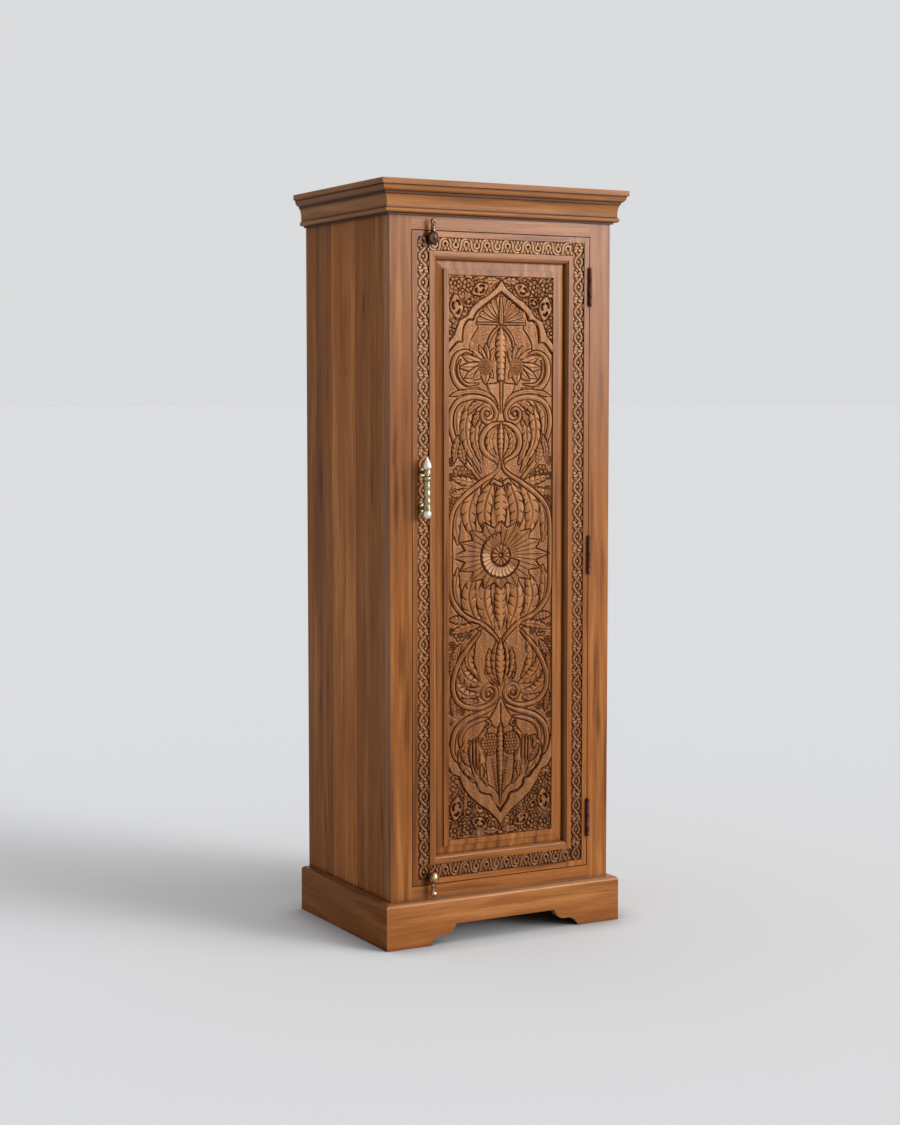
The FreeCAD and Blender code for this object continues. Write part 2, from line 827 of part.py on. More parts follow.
def hinge_leaf(height, side):
    owner = 0 if side > 0 else 1
    near, far = leaf_faces(side)
    low = height - hinge_height / 2
    plate = box(min(near, far), max(near, far), hinge_y, front_y + hinge_leaf_depth, low, low + hinge_height)
    leaf = fused([plate] + [barrel(hinge_barrel_radius, *span) for span in knuckle_spans(height, owner)])
    sweep = hinge_barrel_radius + hinge_sweep_clearance
    for start, end in knuckle_spans(height, 1 - owner):
        leaf = leaf.cut(barrel(sweep, start - hinge_knuckle_gap, end + hinge_knuckle_gap))
    leaf = leaf.cut(barrel(hinge_pin_radius + hinge_pin_clearance, low, low + hinge_height))
    return leaf.cut([screw_hole(x, z, side) for x, z in screw_places(height, side)])


def hinge_pins():
    pins = []
    for height in hinge_heights.values():
        low = knuckle_spans(height, 0)[0][0]
        high = knuckle_spans(height, 0)[-1][1]
        head = hinge_pin_head_height
        pins.append(fused([
            barrel(hinge_pin_radius, low - head, high + head),
            barrel(hinge_pin_head_radius, low - head, low),
            barrel(hinge_pin_head_radius, high, high + head),
        ]))
    return Part.makeCompound(pins)


def screw_places(height, side):
    near = leaf_faces(side)[0]
    return [(near, height + step * screw_spacing) for step in (-1, 0, 1)]


def screw_y():
    return front_y + hinge_leaf_depth / 2


def screw(x, z, side, room):
    """A countersunk screw through a leaf into the wood beside it."""
    head_depth = hinge_leaf_thickness
    start = Vector(x, screw_y(), z)
    direction = Vector(side, 0, 0)
    head = Part.makeCone(screw_head_radius + room, screw_radius + room, head_depth, start, direction)
    shank = Part.makeCylinder(screw_radius + room, screw_length + room, start, direction)
    return fused([head, shank])


def screw_hole(x, z, side):
    return screw(x, z, side, screw_fit)


def hinge_screws(side):
    screws = []
    for height in hinge_heights.values():
        screws += [screw(x, z, side, 0) for x, z in screw_places(height, side)]
    return Part.makeCompound(screws)


def hinge_recesses(side):
    """What a stile loses to its three hinges."""
    recesses = []
    near, far = leaf_faces(side)
    for height in hinge_heights.values():
        low = height - hinge_height / 2
        high = low + hinge_height
        head = hinge_pin_head_height + hinge_knuckle_gap
        recesses.append(box(min(near, far), max(near, far), front_y, front_y + hinge_leaf_depth, low, high))
        recesses.append(barrel(hinge_barrel_radius + hinge_sweep_clearance, low - head, high + head))
        recesses += [screw_hole(x, z, side) for x, z in screw_places(height, side)]
    return recesses


# Handle

def handle_grip():
    """A turned grip with rings and waists below a ball, on a spigot at each end."""
    low = handle_posts_z[0] + handle_collar_height / 2
    high = handle_posts_z[1] - handle_collar_height / 2
    ball_high = high - handle_neck_height
    ball_low = ball_high - handle_ball_height
    ring = handle_ring_height
    waist = handle_waist_radius
    full = handle_grip_radius
    neck = handle_neck_radius
    third = (ball_low - low - 2 * ring) / 3
    steps = [[(full, low)], [(full, low + ring)], [(waist, low + ring)]]
    for index in range(3):
        start = low + ring + index * third
        steps.append([(full, start + third / 2), (waist, start + third)])
    steps += [[(full, ball_low - ring)], [(full, ball_low)], [(neck, ball_low)]]
    swell = 2 * handle_ball_radius - neck
    steps += [[(swell, (ball_low + ball_high) / 2), (neck, ball_high)], [(neck, high)], [(0, high)]]
    overrun = handle_collar_height + handle_spigot_reach - handle_spigot_fit
    spigot = rod(handle_spigot_radius, Vector(handle_x, handle_y, low - overrun),
                 Vector(handle_x, handle_y, high + overrun))
    return fused([turned((0, low), steps, handle_x, handle_y), spigot])


def spigot_bore(low, high):
    radius = handle_spigot_radius + handle_spigot_fit
    return rod(radius, Vector(handle_x, handle_y, low), Vector(handle_x, handle_y, high))


def handle_cap(seat, direction, height, swell, tip_width):
    """A cap on the end of the grip; swell and tip_width bend its side between seat and tip."""
    tip = seat + direction * height
    side = [(handle_cap_radius * swell, seat + direction * height * 0.2),
            (handle_cap_radius * tip_width, tip - direction * height * (1 - min(tip_width, 1)))]
    cap = turned((0, seat), [[(handle_cap_seat_radius, seat)], side + [(0, tip)]], handle_x, handle_y)
    bore_end = seat + direction * handle_spigot_reach
    return cap.cut(spigot_bore(min(seat, bore_end), max(seat, bore_end)))


def handle_posts():
    """Each post: a round rose on the door, a stem, and a collar round the grip's spigot."""
    posts = []
    for z in handle_posts_z:
        low = z - handle_collar_height / 2
        high = z + handle_collar_height / 2
        collar = rod(handle_collar_radius, Vector(handle_x, handle_y, low), Vector(handle_x, handle_y, high))
        stem = rod(handle_post_radius, Vector(handle_x, handle_y, z), Vector(handle_x, front_y, z))
        rose = rod(handle_rose_radius, Vector(handle_x, front_y - handle_rose_lift, z),
                   Vector(handle_x, border_floor_y, z))
        post = fused([collar, stem, rose]).cut(spigot_bore(low, high))
        posts.append(post.cut(handle_bolt(z, seat_fit)))
    return Part.makeCompound(posts)


def handle_bolt(z, room):
    """A bolt through the door's stile, with its head on the back."""
    end_y = border_floor_y - handle_bolt_reach
    shank = rod(handle_bolt_radius + room, Vector(handle_x, end_y - room, z),
                Vector(handle_x, door_back_y, z))
    head = rod(handle_bolt_head_radius, Vector(handle_x, door_back_y, z),
               Vector(handle_x, door_back_y + handle_bolt_head_height, z))
    return fused([shank, head])


# Turn latches

def latch_rose(z):
    """A round rose on the door with a sleeve through it for the spindle."""
    face = Vector(latch_x, front_y - latch_rose_lift, z)
    seat = Vector(latch_x, border_floor_y, z)
    end = Vector(latch_x, sleeve_end_y, z)
    rose = rod(latch_rose_radius, face, seat)
    sleeve = rod(latch_sleeve_radius, seat, end)
    bore = rod(latch_spindle_radius + latch_running_fit, face, end)
    return fused([rose, sleeve]).cut(bore)


def latch_lever(name):
    """A turned lever on its spindle; the upper one ends in a ring, the lower one in a ball."""
    z, direction = latch_places[name]
    end_size = latch_ball_radius if name == "bottom" else latch_ring_radius + latch_ring_wire
    end_z = z + direction * (latch_lever_reach[name] - end_size)
    neck_end = end_z if name == "bottom" else end_z - direction * latch_ring_radius
    neck = latch_neck_radius
    hub = latch_hub_radius
    steps = [
        [(hub * 1.33, z - direction * hub), (hub * 1.33, z + direction * hub),
         (neck, z + direction * hub * 1.6)],
        [(latch_neck_tip_radius, neck_end)],
        [(0, neck_end)],
    ]
    body = turned((0, z - direction * hub), steps, latch_x, latch_y)
    centre = Vector(latch_x, latch_y, z)
    stem = rod(latch_stem_radius, centre, Vector(latch_x, front_y - latch_rose_lift - latch_hub_gap, z))
    spindle = rod(latch_spindle_radius, centre, Vector(latch_x, tongue_y + tongue_thickness, z))
    if name == "top":
        end = Part.makeTorus(latch_ring_radius, latch_ring_wire, Vector(latch_x, latch_y, end_z), along_y)
    else:
        end = Part.makeSphere(latch_ball_radius, Vector(latch_x, latch_y, end_z))
    return fused([body, stem, spindle, end])


def latch_tongue(z):
    """The bar riveted on the spindle behind the door, pointing to the right when released."""
    bar = box(latch_x - tongue_width / 2, latch_x + tongue_length, tongue_y, tongue_y + tongue_thickness,
              z - tongue_width / 2, z + tongue_width / 2)
    hole = rod(latch_spindle_radius, Vector(latch_x, tongue_y, z),
               Vector(latch_x, tongue_y + tongue_thickness, z))
    return bar.cut(hole)


def build_carcass():
    for name, shape in plinth_runs().items():
        save("plinth_" + name, shape)
    save("plinth_back", plinth_back())
    save("plinth_blocks", plinth_blocks())
    save("side_left", side_panel(-1))
    save("side_right", side_panel(1))
    save("bottom_board", bottom_board())
    save("top_board", top_board())
    for index in range(back_board_count):
        save("back_board_" + str(index + 1), back_board(index))
    save("frame_stile_left", frame_stile(-1))
    save("frame_stile_right", frame_stile(1).cut(hinge_recesses(1)))
    for name, heights in frame_rail_heights().items():
        save("frame_rail_" + name, frame_rail(heights))
    for name, shape in cornice_runs().items():
        save("cornice_" + name, shape)
    for index, height in enumerate(shelf_heights()):
        save("shelf_" + str(index + 1), shelf(height))
    save("shelf_cleats", shelf_cleats())
    save("door_stop", door_stop())
    for name, height in hinge_heights.items():
        save("hinge_frame_leaf_" + name, hinge_leaf(height, 1))
    save("hinge_pins", hinge_pins())
    save("hinge_frame_screws", hinge_screws(1))


def build_door():
    save("door_stile_left", door_stile(-1))
    save("door_stile_right", door_stile(1).cut(hinge_recesses(-1)))
    for name, heights in door_rail_heights().items():
        save("door_rail_" + name, door_rail(heights))
    save("door_panel", door_panel())
    for name, bead in panel_beads().items():
        save("panel_bead_" + name, bead)
    save("panel_carving", panel_carving())
    for name, strip in border_strips().items():
        save("border_carving_" + name, strip)
    for name, height in hinge_heights.items():
        save("hinge_door_leaf_" + name, hinge_leaf(height, -1))
    save("hinge_door_screws", hinge_screws(-1))
    save("handle_grip", handle_grip())
    collar = handle_collar_height / 2
    save("handle_cap_top", handle_cap(handle_posts_z[1] + collar, 1, handle_top_cap_height, 1.55, 0.65))
    save("handle_cap_bottom", handle_cap(handle_posts_z[0] - collar, -1, handle_bottom_cap_height, 1.25, 1.1))
    save("handle_posts", handle_posts())
    save("handle_bolts", Part.makeCompound([handle_bolt(z, 0) for z in handle_posts_z]))


def build_latches():
    for name, (z, direction) in latch_places.items():
        save("latch_rose_" + name, latch_rose(z))
        save("latch_lever_" + name, latch_lever(name))
        save("latch_tongue_" + name, latch_tongue(z))


os.makedirs("parts", exist_ok=True)
build_carcass()
build_door()
build_latches()
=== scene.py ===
import math
import bpy
import numpy as np
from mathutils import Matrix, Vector


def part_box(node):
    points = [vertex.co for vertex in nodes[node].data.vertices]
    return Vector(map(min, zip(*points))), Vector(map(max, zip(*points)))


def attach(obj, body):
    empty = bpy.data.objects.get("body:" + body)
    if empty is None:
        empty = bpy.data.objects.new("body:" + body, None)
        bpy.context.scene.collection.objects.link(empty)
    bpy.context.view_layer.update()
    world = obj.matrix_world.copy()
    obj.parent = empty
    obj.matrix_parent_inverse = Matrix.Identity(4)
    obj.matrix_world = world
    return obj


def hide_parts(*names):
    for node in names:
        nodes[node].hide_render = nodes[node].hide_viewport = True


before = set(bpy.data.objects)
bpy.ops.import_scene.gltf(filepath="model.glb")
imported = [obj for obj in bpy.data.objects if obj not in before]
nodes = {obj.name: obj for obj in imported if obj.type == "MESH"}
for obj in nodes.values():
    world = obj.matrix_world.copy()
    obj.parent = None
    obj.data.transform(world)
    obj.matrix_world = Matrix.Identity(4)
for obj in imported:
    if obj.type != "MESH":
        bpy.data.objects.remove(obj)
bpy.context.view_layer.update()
print("frame loaded:", len(nodes), "nodes")

perMetre = 1000  # the frame is in metres, the carving is drawn in millimetres


def middleOf(name):
    low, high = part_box(name)
    return (low + high) * perMetre / 2


def halfOf(name):
    low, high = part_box(name)
    return (high - low) * perMetre / 2


def addObject(name, data):
    made = bpy.data.objects.new(name, data)
    bpy.context.scene.collection.objects.link(made)
    return made


# Shader helpers: every socket is either fed by another node or holds its own constant

def addNode(tree, kind, inputs=None, **settings):
    made = tree.nodes.new("ShaderNode" + kind)
    for key, value in settings.items():
        setattr(made, key, value)
    for key, value in (inputs or {}).items():
        if isinstance(value, bpy.types.NodeSocket):
            tree.links.new(value, made.inputs[key])
        else:
            made.inputs[key].default_value = value
    return made


def addRamp(tree, factor, stops, smooth=True):
    made = addNode(tree, "ValToRGB", {"Fac": factor})
    ramp = made.color_ramp
    ramp.interpolation = "EASE" if smooth else "LINEAR"
    while len(ramp.elements) < len(stops):
        ramp.elements.new(0.5)
    for element, (place, colour) in zip(ramp.elements, stops):
        element.position = place
        element.color = (*colour, 1)
    return made.outputs["Color"]


def mapRange(tree, value, low, high, toLow=0.0, toHigh=1.0):
    limits = {"Value": value, "From Min": low, "From Max": high, "To Min": toLow, "To Max": toHigh}
    return addNode(tree, "MapRange", limits).outputs[0]


def compute(tree, operation, *values):
    return addNode(tree, "Math", dict(enumerate(values)), operation=operation).outputs[0]


def blend(tree, factor, under, over, kind="MIX"):
    over = over if isinstance(over, bpy.types.NodeSocket) else (*over, 1)
    sockets = {0: factor, 6: under, 7: over}
    return addNode(tree, "Mix", sockets, data_type="RGBA", blend_type=kind).outputs[2]


def multiply(tree, colour, by):
    return blend(tree, 1.0, colour, by, "MULTIPLY")


def heightOf(tree, place):
    return addNode(tree, "SeparateXYZ", {"Vector": place}).outputs["Z"]


def addBump(tree, shader, height, strength):
    bump = addNode(tree, "Bump", {"Height": height, "Strength": strength, "Distance": 0.0004})
    tree.links.new(bump.outputs[0], shader.inputs["Normal"])


def grey(value):
    return (value, value, value)


def tint(colour, by):
    return tuple(min(1.0, max(0.0, part * by)) for part in colour)


def newMaterial(name):
    material = bpy.data.materials.new(name)
    material.use_nodes = True
    tree = material.node_tree
    return material, tree, tree.nodes["Principled BSDF"]


# Wood: stained teak, satin; grain runs along the named axis of the piece

wood = {
    "dark": (0.100, 0.028, 0.0052),
    "middle": (0.237, 0.079, 0.0175),
    "light": (0.358, 0.144, 0.041),
    "streak": (0.090, 0.026, 0.0062),
    # recess: painted shade, with some dark stain, deep in the carving's cuts
    "recess": (0.20, 0.095, 0.05),
    # pale worn wood, also used as painted sheen on the carved tops and the cornice
    "paleWearAndSheen": (0.46, 0.27, 0.145),
    # corner: painted shade in corners, gaps and creases
    "corner": (0.24, 0.16, 0.11),
    "roughness": 0.18,
    "gloss": 0.17,
    "layerShift": (1.7, 0.9, 2.3),  # moves each layer of grain away from the others
    "boardShift": (3.1, 1.3, 2.7),  # and each board's grain away from its neighbours'
}
# layers of grain: stretch along the board, then the noise's own settings
grainLayers = {
    "streaks": (0.05, {"Scale": 62.0, "Detail": 6.0, "Roughness": 0.62, "Distortion": 0.5}),
    "broad": (0.22, {"Scale": 9.0, "Detail": 2.0, "Distortion": 0.3}),
    "fibre": (0.018, {"Scale": 520.0, "Detail": 3.0, "Roughness": 0.7}),
    "figure": (0.09, {"Scale": 11.0, "Distortion": 7.0, "Detail": 3.0, "Detail Scale": 0.8}),
    "veins": (0.045, {"Scale": 15.0, "Detail": 4.0, "Distortion": 0.7}),
}


def grainOf(tree, place, grain, seed, tone):
    layers = {}
    for number, (kind, (along, settings)) in enumerate(grainLayers.items()):
        scale = [1.0, 1.0, 1.0]
        scale["xyz".index(grain)] = along
        offset = [number * a + seed * b for a, b in zip(wood["layerShift"], wood["boardShift"])]
        moved = addNode(tree, "Mapping", {"Vector": place, "Location": offset, "Scale": scale}).outputs[0]
        made = addNode(tree, "TexWave" if kind == "figure" else "TexNoise", {"Vector": moved, **settings})
        if kind == "figure":
            made.bands_direction = "Y" if grain == "x" else "X"
        layers[kind] = made.outputs["Fac"]
    mixed = compute(tree, "MULTIPLY", layers["streaks"], 0.55)
    mixed = compute(tree, "MULTIPLY_ADD", layers["broad"], 0.33, mixed)
    mixed = compute(tree, "MULTIPLY_ADD", layers["figure"], 0.12, mixed)
    shades = ((0.30, "dark"), (0.50, "middle"), (0.70, "light"))
    colour = addRamp(tree, mixed, [(stop, tint(wood[shade], tone)) for stop, shade in shades])
    pores = addRamp(tree, layers["fibre"], [(0.30, grey(0.70)), (0.52, grey(1.0)), (0.75, grey(1.10))])
    colour = multiply(tree, colour, pores)
    dark = addRamp(tree, layers["veins"], [(0.60, grey(0.0)), (0.74, grey(0.55))])
    return blend(tree, dark, colour, tint(wood["streak"], tone)), layers


def plankRamps(tree, place, planks):
    across = addNode(tree, "SeparateXYZ", {"Vector": place}).outputs["Y"]
    part = mapRange(tree, across, planks["from"], planks["to"])
    tones = [(0.0, grey(planks["tones"][0]))]
    shifts = [(0.0, grey(0.0))]
    for number, seam in enumerate(planks["seams"]):
        left, right = planks["tones"][number:number + 2]
        tones += [(seam - 0.004, grey(left)), (seam - 0.003, grey(planks["seamShade"] * left)),
                  (seam + 0.003, grey(planks["seamShade"] * right)), (seam + 0.004, grey(right))]
        shifts += [(seam - 0.001, grey(planks["shift"] * number)),
                   (seam + 0.001, grey(planks["shift"] * (number + 1)))]
    return addRamp(tree, part, tones, False), addRamp(tree, part, shifts, False)


# a knot: place across the face, height, width, length along the grain, all in metres
def knotMark(tree, place, colour, streaks, knot, face, tone):
    across, height, wide, tall = knot
    scale = [0.0, 0.0, 1 / tall]
    scale["xy".index(face)] = 1 / wide
    offset = [0.0, 0.0, -height / tall]
    offset["xy".index(face)] = -across / wide
    spot = addNode(tree, "Mapping", {"Vector": place, "Location": offset, "Scale": scale}).outputs[0]
    away = addNode(tree, "VectorMath", {0: spot}, operation="LENGTH").outputs["Value"]
    ragged = mapRange(tree, compute(tree, "MULTIPLY_ADD", streaks, 1.4, away), 0.4, 1.9)
    mark = addRamp(tree, ragged, [(0.0, grey(0.85)), (0.35, grey(0.5)), (1.0, grey(0.0))])
    return blend(tree, mark, colour, tint(wood["streak"], 0.6 * tone))


# carved wood: painted shade with some stain in the hollows, painted highlight on the tops; darker towards the
# bottom; tops pale from wear and painted sheen, more so higher up
carvedLooks = {
    "low": 0.2,  # heights in metres
    "high": 1.6,
    "toneLow": 0.54,
    "toneHigh": 1.06,
    # heights over which the painted sheen on the carved tops grows
    "sheenFrom": 0.7,
    "sheenLow": 0.14,
    "paintedHighlight": 0.8,
}


def carvedColour(tree, place, colour, wearAndSheen):
    looks = carvedLooks
    hollow = addNode(tree, "Attribute", attribute_name="hollow").outputs["Fac"]
    # painted shade in the hollows and a painted highlight on the tops
    paintedShadeAndHighlight = addRamp(tree, hollow, [(0.0, grey(1.10)), (0.30, grey(0.95)), (1.0, wood["recess"])])
    colour = multiply(tree, colour, paintedShadeAndHighlight)
    height = heightOf(tree, place)
    darker = mapRange(tree, height, looks["low"], looks["high"], looks["toneLow"], looks["toneHigh"])
    colour = multiply(tree, colour, darker)
    # tops pale from wear and painted sheen; the painted sheen grows higher up the door
    tops = addRamp(tree, hollow, [(0.05, grey(wearAndSheen)), (0.42, grey(0.0))])
    more = mapRange(tree, height, looks["sheenFrom"], looks["high"], looks["sheenLow"], 1.0)
    paleWearAndSheen = compute(tree, "MULTIPLY", tops, more)
    # painted highlight where the hollow measure is below zero, on the rosette's ring
    paintedHighlight = mapRange(tree, hollow, -1.0, -0.2, looks["paintedHighlight"], 0.0)
    return blend(tree, compute(tree, "MAXIMUM", paleWearAndSheen, paintedHighlight), colour, wood["paleWearAndSheen"])


# painted shade in corners, gaps and creases, from the occlusion node
def creviceColour(tree, colour, crevice):
    openness = addNode(tree, "AmbientOcclusion", {"Distance": crevice}, samples=6).outputs["AO"]
    corners = addRamp(tree, openness, [(0.15, wood["corner"]), (0.60, grey(0.66)), (0.92, grey(1.0))])
    return multiply(tree, colour, corners)


# painted shade and painted highlight in bands across the moulding's height
def creaseColour(tree, place, colour, creases):
    part = mapRange(tree, heightOf(tree, place), creases["from"], creases["to"])
    tall = perMetre * (creases["to"] - creases["from"])
    stops = [(up / tall, (shade, shade ** 1.25, shade ** 1.5)) for up, shade in creases["paintedShadeAndHighlight"]]
    return multiply(tree, colour, addRamp(tree, part, stops, False))


def woodMaterial(name, grain, seed, tone=1.0, gloss=1.0, knots=(), face="x", planks=None, carved=False,
                 wearAndSheen=0.0, crevice=0.011, creases=None):
    material, tree, shader = newMaterial(name)
    place = addNode(tree, "TexCoord").outputs["Object"]
    grainPlace = place
    if planks:
        plankTone, plankShift = plankRamps(tree, place, planks)
        grainPlace = addNode(tree, "VectorMath", {0: place, 1: plankShift}, operation="ADD").outputs[0]
    colour, layers = grainOf(tree, grainPlace, grain, seed, tone)
    for knot in knots:
        colour = knotMark(tree, place, colour, layers["streaks"], knot, face, tone)
    if planks:
        colour = multiply(tree, colour, plankTone)
    if carved:
        colour = carvedColour(tree, place, colour, wearAndSheen)
    else:
        colour = creviceColour(tree, colour, crevice)
        # an even pale mix of wear and painted sheen
        if wearAndSheen:
            colour = blend(tree, wearAndSheen, colour, wood["paleWearAndSheen"])
    if creases:
        colour = creaseColour(tree, place, colour, creases)
    tree.links.new(colour, shader.inputs["Base Color"])
    satin = mapRange(tree, layers["fibre"], 0.3, 0.7, wood["roughness"] + 0.10, wood["roughness"] - 0.04)
    tree.links.new(satin, shader.inputs["Roughness"])
    shader.inputs["Specular IOR Level"].default_value = wood["gloss"] * gloss
    addBump(tree, shader, layers["fibre"], 0.10)
    return material


# Metal: bright where it is rubbed, dull in patches
def metalMaterial(name, bright, dull, roughness, wear, scale=90.0):
    material, tree, shader = newMaterial(name)
    place = addNode(tree, "TexCoord").outputs["Object"]
    settings = {"Vector": place, "Scale": scale, "Detail": 5.0, "Roughness": 0.6}
    patches = addNode(tree, "TexNoise", settings).outputs["Fac"]
    colour = addRamp(tree, patches, [(wear - 0.12, dull), (wear + 0.12, bright)])
    tree.links.new(colour, shader.inputs["Base Color"])
    satin = mapRange(tree, patches, 0.3, 0.7, roughness + 0.16, roughness - 0.06)
    tree.links.new(satin, shader.inputs["Roughness"])
    shader.inputs["Metallic"].default_value = 1.0
    addBump(tree, shader, patches, 0.25)
    return material


# Which piece gets which finish; boards are listed by the axis of their grain

boards = {
    "z": ["frame_stile_left", "door_stop", "door_stile_left", "door_stile_right", "door_panel",
          "panel_bead_left", "panel_bead_right", "back_board_1", "back_board_2", "back_board_3",
          "frame_stile_right"],
    "x": ["frame_rail_top", "frame_rail_bottom", "door_rail_top", "door_rail_bottom", "panel_bead_top",
          "panel_bead_bottom", "cornice_front", "plinth_front", "plinth_back", "bottom_board", "top_board",
          "shelf_1", "shelf_2", "shelf_3", "shelf_4"],
    "y": ["cornice_left", "cornice_right", "plinth_left", "plinth_right", "shelf_cleats"],
}
cornice = {
    "wearAndSheen": 0.14,
    "creases": {
        "from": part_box("cornice_front")[0].z,
        "to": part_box("cornice_front")[1].z,
        # painted shade in the creases and painted highlight on the bands: height in mm above the foot, shade
        "paintedShadeAndHighlight": [(0, 0.40), (4, 0.45), (6, 0.9), (9, 1.15), (13, 1.05), (15.5, 0.42), (18, 0.85),
                  (23, 1.12), (38, 1.15), (44, 0.95), (46.5, 0.36), (51, 0.34), (53, 0.50), (57, 0.95),
                  (62, 1.05), (65, 0.70), (66.6, 0.36), (67.6, 0.85), (72, 1.0), (80, 1.05)],
    },
}
boardLooks = {
    "frame_stile_left": {"tone": 0.8, "gloss": 0.75, "knots": [
        (-0.286, 1.060, 0.008, 0.090), (-0.272, 0.700, 0.012, 0.080), (-0.262, 0.520, 0.006, 0.070)]},
    "frame_stile_right": {"tone": 0.99, "knots": [
        (0.286, 0.900, 0.006, 0.060), (0.266, 0.640, 0.006, 0.090), (0.276, 0.500, 0.010, 0.050)]},
    "frame_rail_top": {"tone": 1.02},
    "door_stile_left": {"tone": 0.8},
    "door_panel": {"tone": 0.9, "crevice": 0.006},
    "panel_bead_left": {"tone": 0.8},
    # the right bead is toned darker: painted shade
    "panel_bead_right": {"tone": 0.6},
    "cornice_front": {"tone": 1.02, "gloss": 0.35, **cornice},
    # the left return of the cornice is toned darker: painted shade
    "cornice_left": {"tone": 0.74, "gloss": 0.2, **cornice},
    "cornice_right": cornice,
    "plinth_front": {"tone": 0.9},
    "plinth_left": {"tone": 0.95, "gloss": 0.2},
    "shelf_cleats": {"tone": 0.8},
}
sidePlanks = {
    "from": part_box("side_left")[0].y,
    "to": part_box("side_left")[1].y,
    "seams": [0.347, 0.668],  # shares of the depth, from the front
    "tones": [0.97, 1.33, 0.99],
    "seamShade": 0.35,
    "shift": 0.37,  # metres that the grain jumps from plank to plank
}
sideKnots = [(0.018, 1.360, 0.007, 0.010), (0.165, 1.080, 0.010, 0.075), (-0.118, 1.085, 0.008, 0.060),
             (-0.165, 0.290, 0.008, 0.055), (0.175, 0.540, 0.009, 0.050), (0.150, 0.240, 0.008, 0.060),
             (-0.075, 1.520, 0.010, 0.040)]
sides = {"side_left": sideKnots, "side_right": sideKnots[2:4]}
metals = {
    "brass": metalMaterial("old_brass", (0.36, 0.29, 0.18), (0.16, 0.12, 0.07), 0.34, 0.46, 70.0),
    "pale": metalMaterial("worn_brass", (0.70, 0.63, 0.53), (0.38, 0.31, 0.22), 0.34, 0.38),
    "bronze": metalMaterial("bronze", (0.62, 0.38, 0.20), (0.12, 0.065, 0.035), 0.28, 0.50),
    "dark": metalMaterial("dark_bronze", (0.22, 0.13, 0.08), (0.045, 0.026, 0.018), 0.34, 0.54),
    "iron": metalMaterial("browned_iron", (0.120, 0.050, 0.034), (0.040, 0.017, 0.012), 0.55, 0.50),
}
metalPieces = {
    "brass": ["handle_grip", "handle_bolts", "handle_posts"],
    "pale": ["handle_cap_top", "handle_cap_bottom"],
    "bronze": ["latch_rose_bottom", "latch_lever_bottom", "latch_tongue_top", "latch_tongue_bottom"],
    "dark": ["latch_rose_top", "latch_lever_top"],
    "iron": ["hinge_pins", "hinge_frame_screws", "hinge_door_screws"]
            + ["hinge_%s_leaf_%s" % (side, place) for side in ("frame", "door")
               for place in ("top", "middle", "bottom")],
}


def dress(name, material):
    nodes[name].data.materials.clear()
    nodes[name].data.materials.append(material)


seed = 0
for grain, names in boards.items():
    for name in names:
        seed += 1
        dress(name, woodMaterial("wood_" + name, grain, seed, **boardLooks.get(name, {})))
for name, knots in sides.items():
    seed += 1
    looks = {"planks": sidePlanks, "knots": knots, "face": "y", "gloss": 0.18}
    dress(name, woodMaterial("wood_" + name, "z", seed, **looks))
dress("plinth_blocks", woodMaterial("wood_blocks", "z", 91, tone=0.7))
for finish, names in metalPieces.items():
    for name in names:
        dress(name, metals[finish])
print("finishes on the frame done")


# Carving tools: a sheet is a grid of heights in mm, x across and v up

chisel = {
    "furrowSlope": 0.9,
    "grooveSlope": 2.6,
    "toothSlant": 0.55,
    "toothBite": 0.24,
    "notchWidth": 0.9,
    "notchDepth": 0.8,
    "fill": 0.8,  # share of a shallow place that is left standing
    "plainSlope": 0.05,
    "marksOnPlain": 0.5,
    "marksOnForms": 0.22,
}


def newSheet(halfWidth, halfHeight, step, ground):
    columns = max(2, round(2 * halfWidth / step)) + 1
    rows = max(2, round(2 * halfHeight / step)) + 1
    xs = np.linspace(-halfWidth, halfWidth, columns)
    vs = np.linspace(-halfHeight, halfHeight, rows)
    return {"x": xs, "v": vs, "stepX": xs[1] - xs[0], "stepV": vs[1] - vs[0],
            "height": np.full((rows, columns), float(ground))}


# a smooth curve through the points, unless it is sharp, in even steps
def smoothLine(points, gap=0.8, sharp=False):
    line = np.array(points, float)
    if len(line) > 2 and not sharp:
        ends = np.vstack([2 * line[0] - line[1], line, 2 * line[-1] - line[-2]])
        t = np.linspace(0, 1, 13)[:-1, None]
        parts = []
        for before, start, end, after in zip(ends[:-3], ends[1:-2], ends[2:-1], ends[3:]):
            square = 2 * before - 5 * start + 4 * end - after
            cube = 3 * start - before - 3 * end + after
            parts.append(0.5 * (2 * start + (end - before) * t + square * t ** 2 + cube * t ** 3))
        line = np.vstack(parts + [line[-1:]])
    run = np.concatenate([[0], np.cumsum(np.hypot(*np.diff(line, axis=0).T))])
    at = np.linspace(0, run[-1], max(2, int(run[-1] / gap) + 1))
    return np.column_stack([np.interp(at, run, line[:, 0]), np.interp(at, run, line[:, 1])])


def windowOf(sheet, low, high):
    left = max(0, int((low[0] - sheet["x"][0]) / sheet["stepX"]))
    right = min(len(sheet["x"]), int((high[0] - sheet["x"][0]) / sheet["stepX"]) + 2)
    bottom = max(0, int((low[1] - sheet["v"][0]) / sheet["stepV"]))
    top = min(len(sheet["v"]), int((high[1] - sheet["v"][0]) / sheet["stepV"]) + 2)
    return (slice(bottom, top), slice(left, right)) if top > bottom and right > left else None


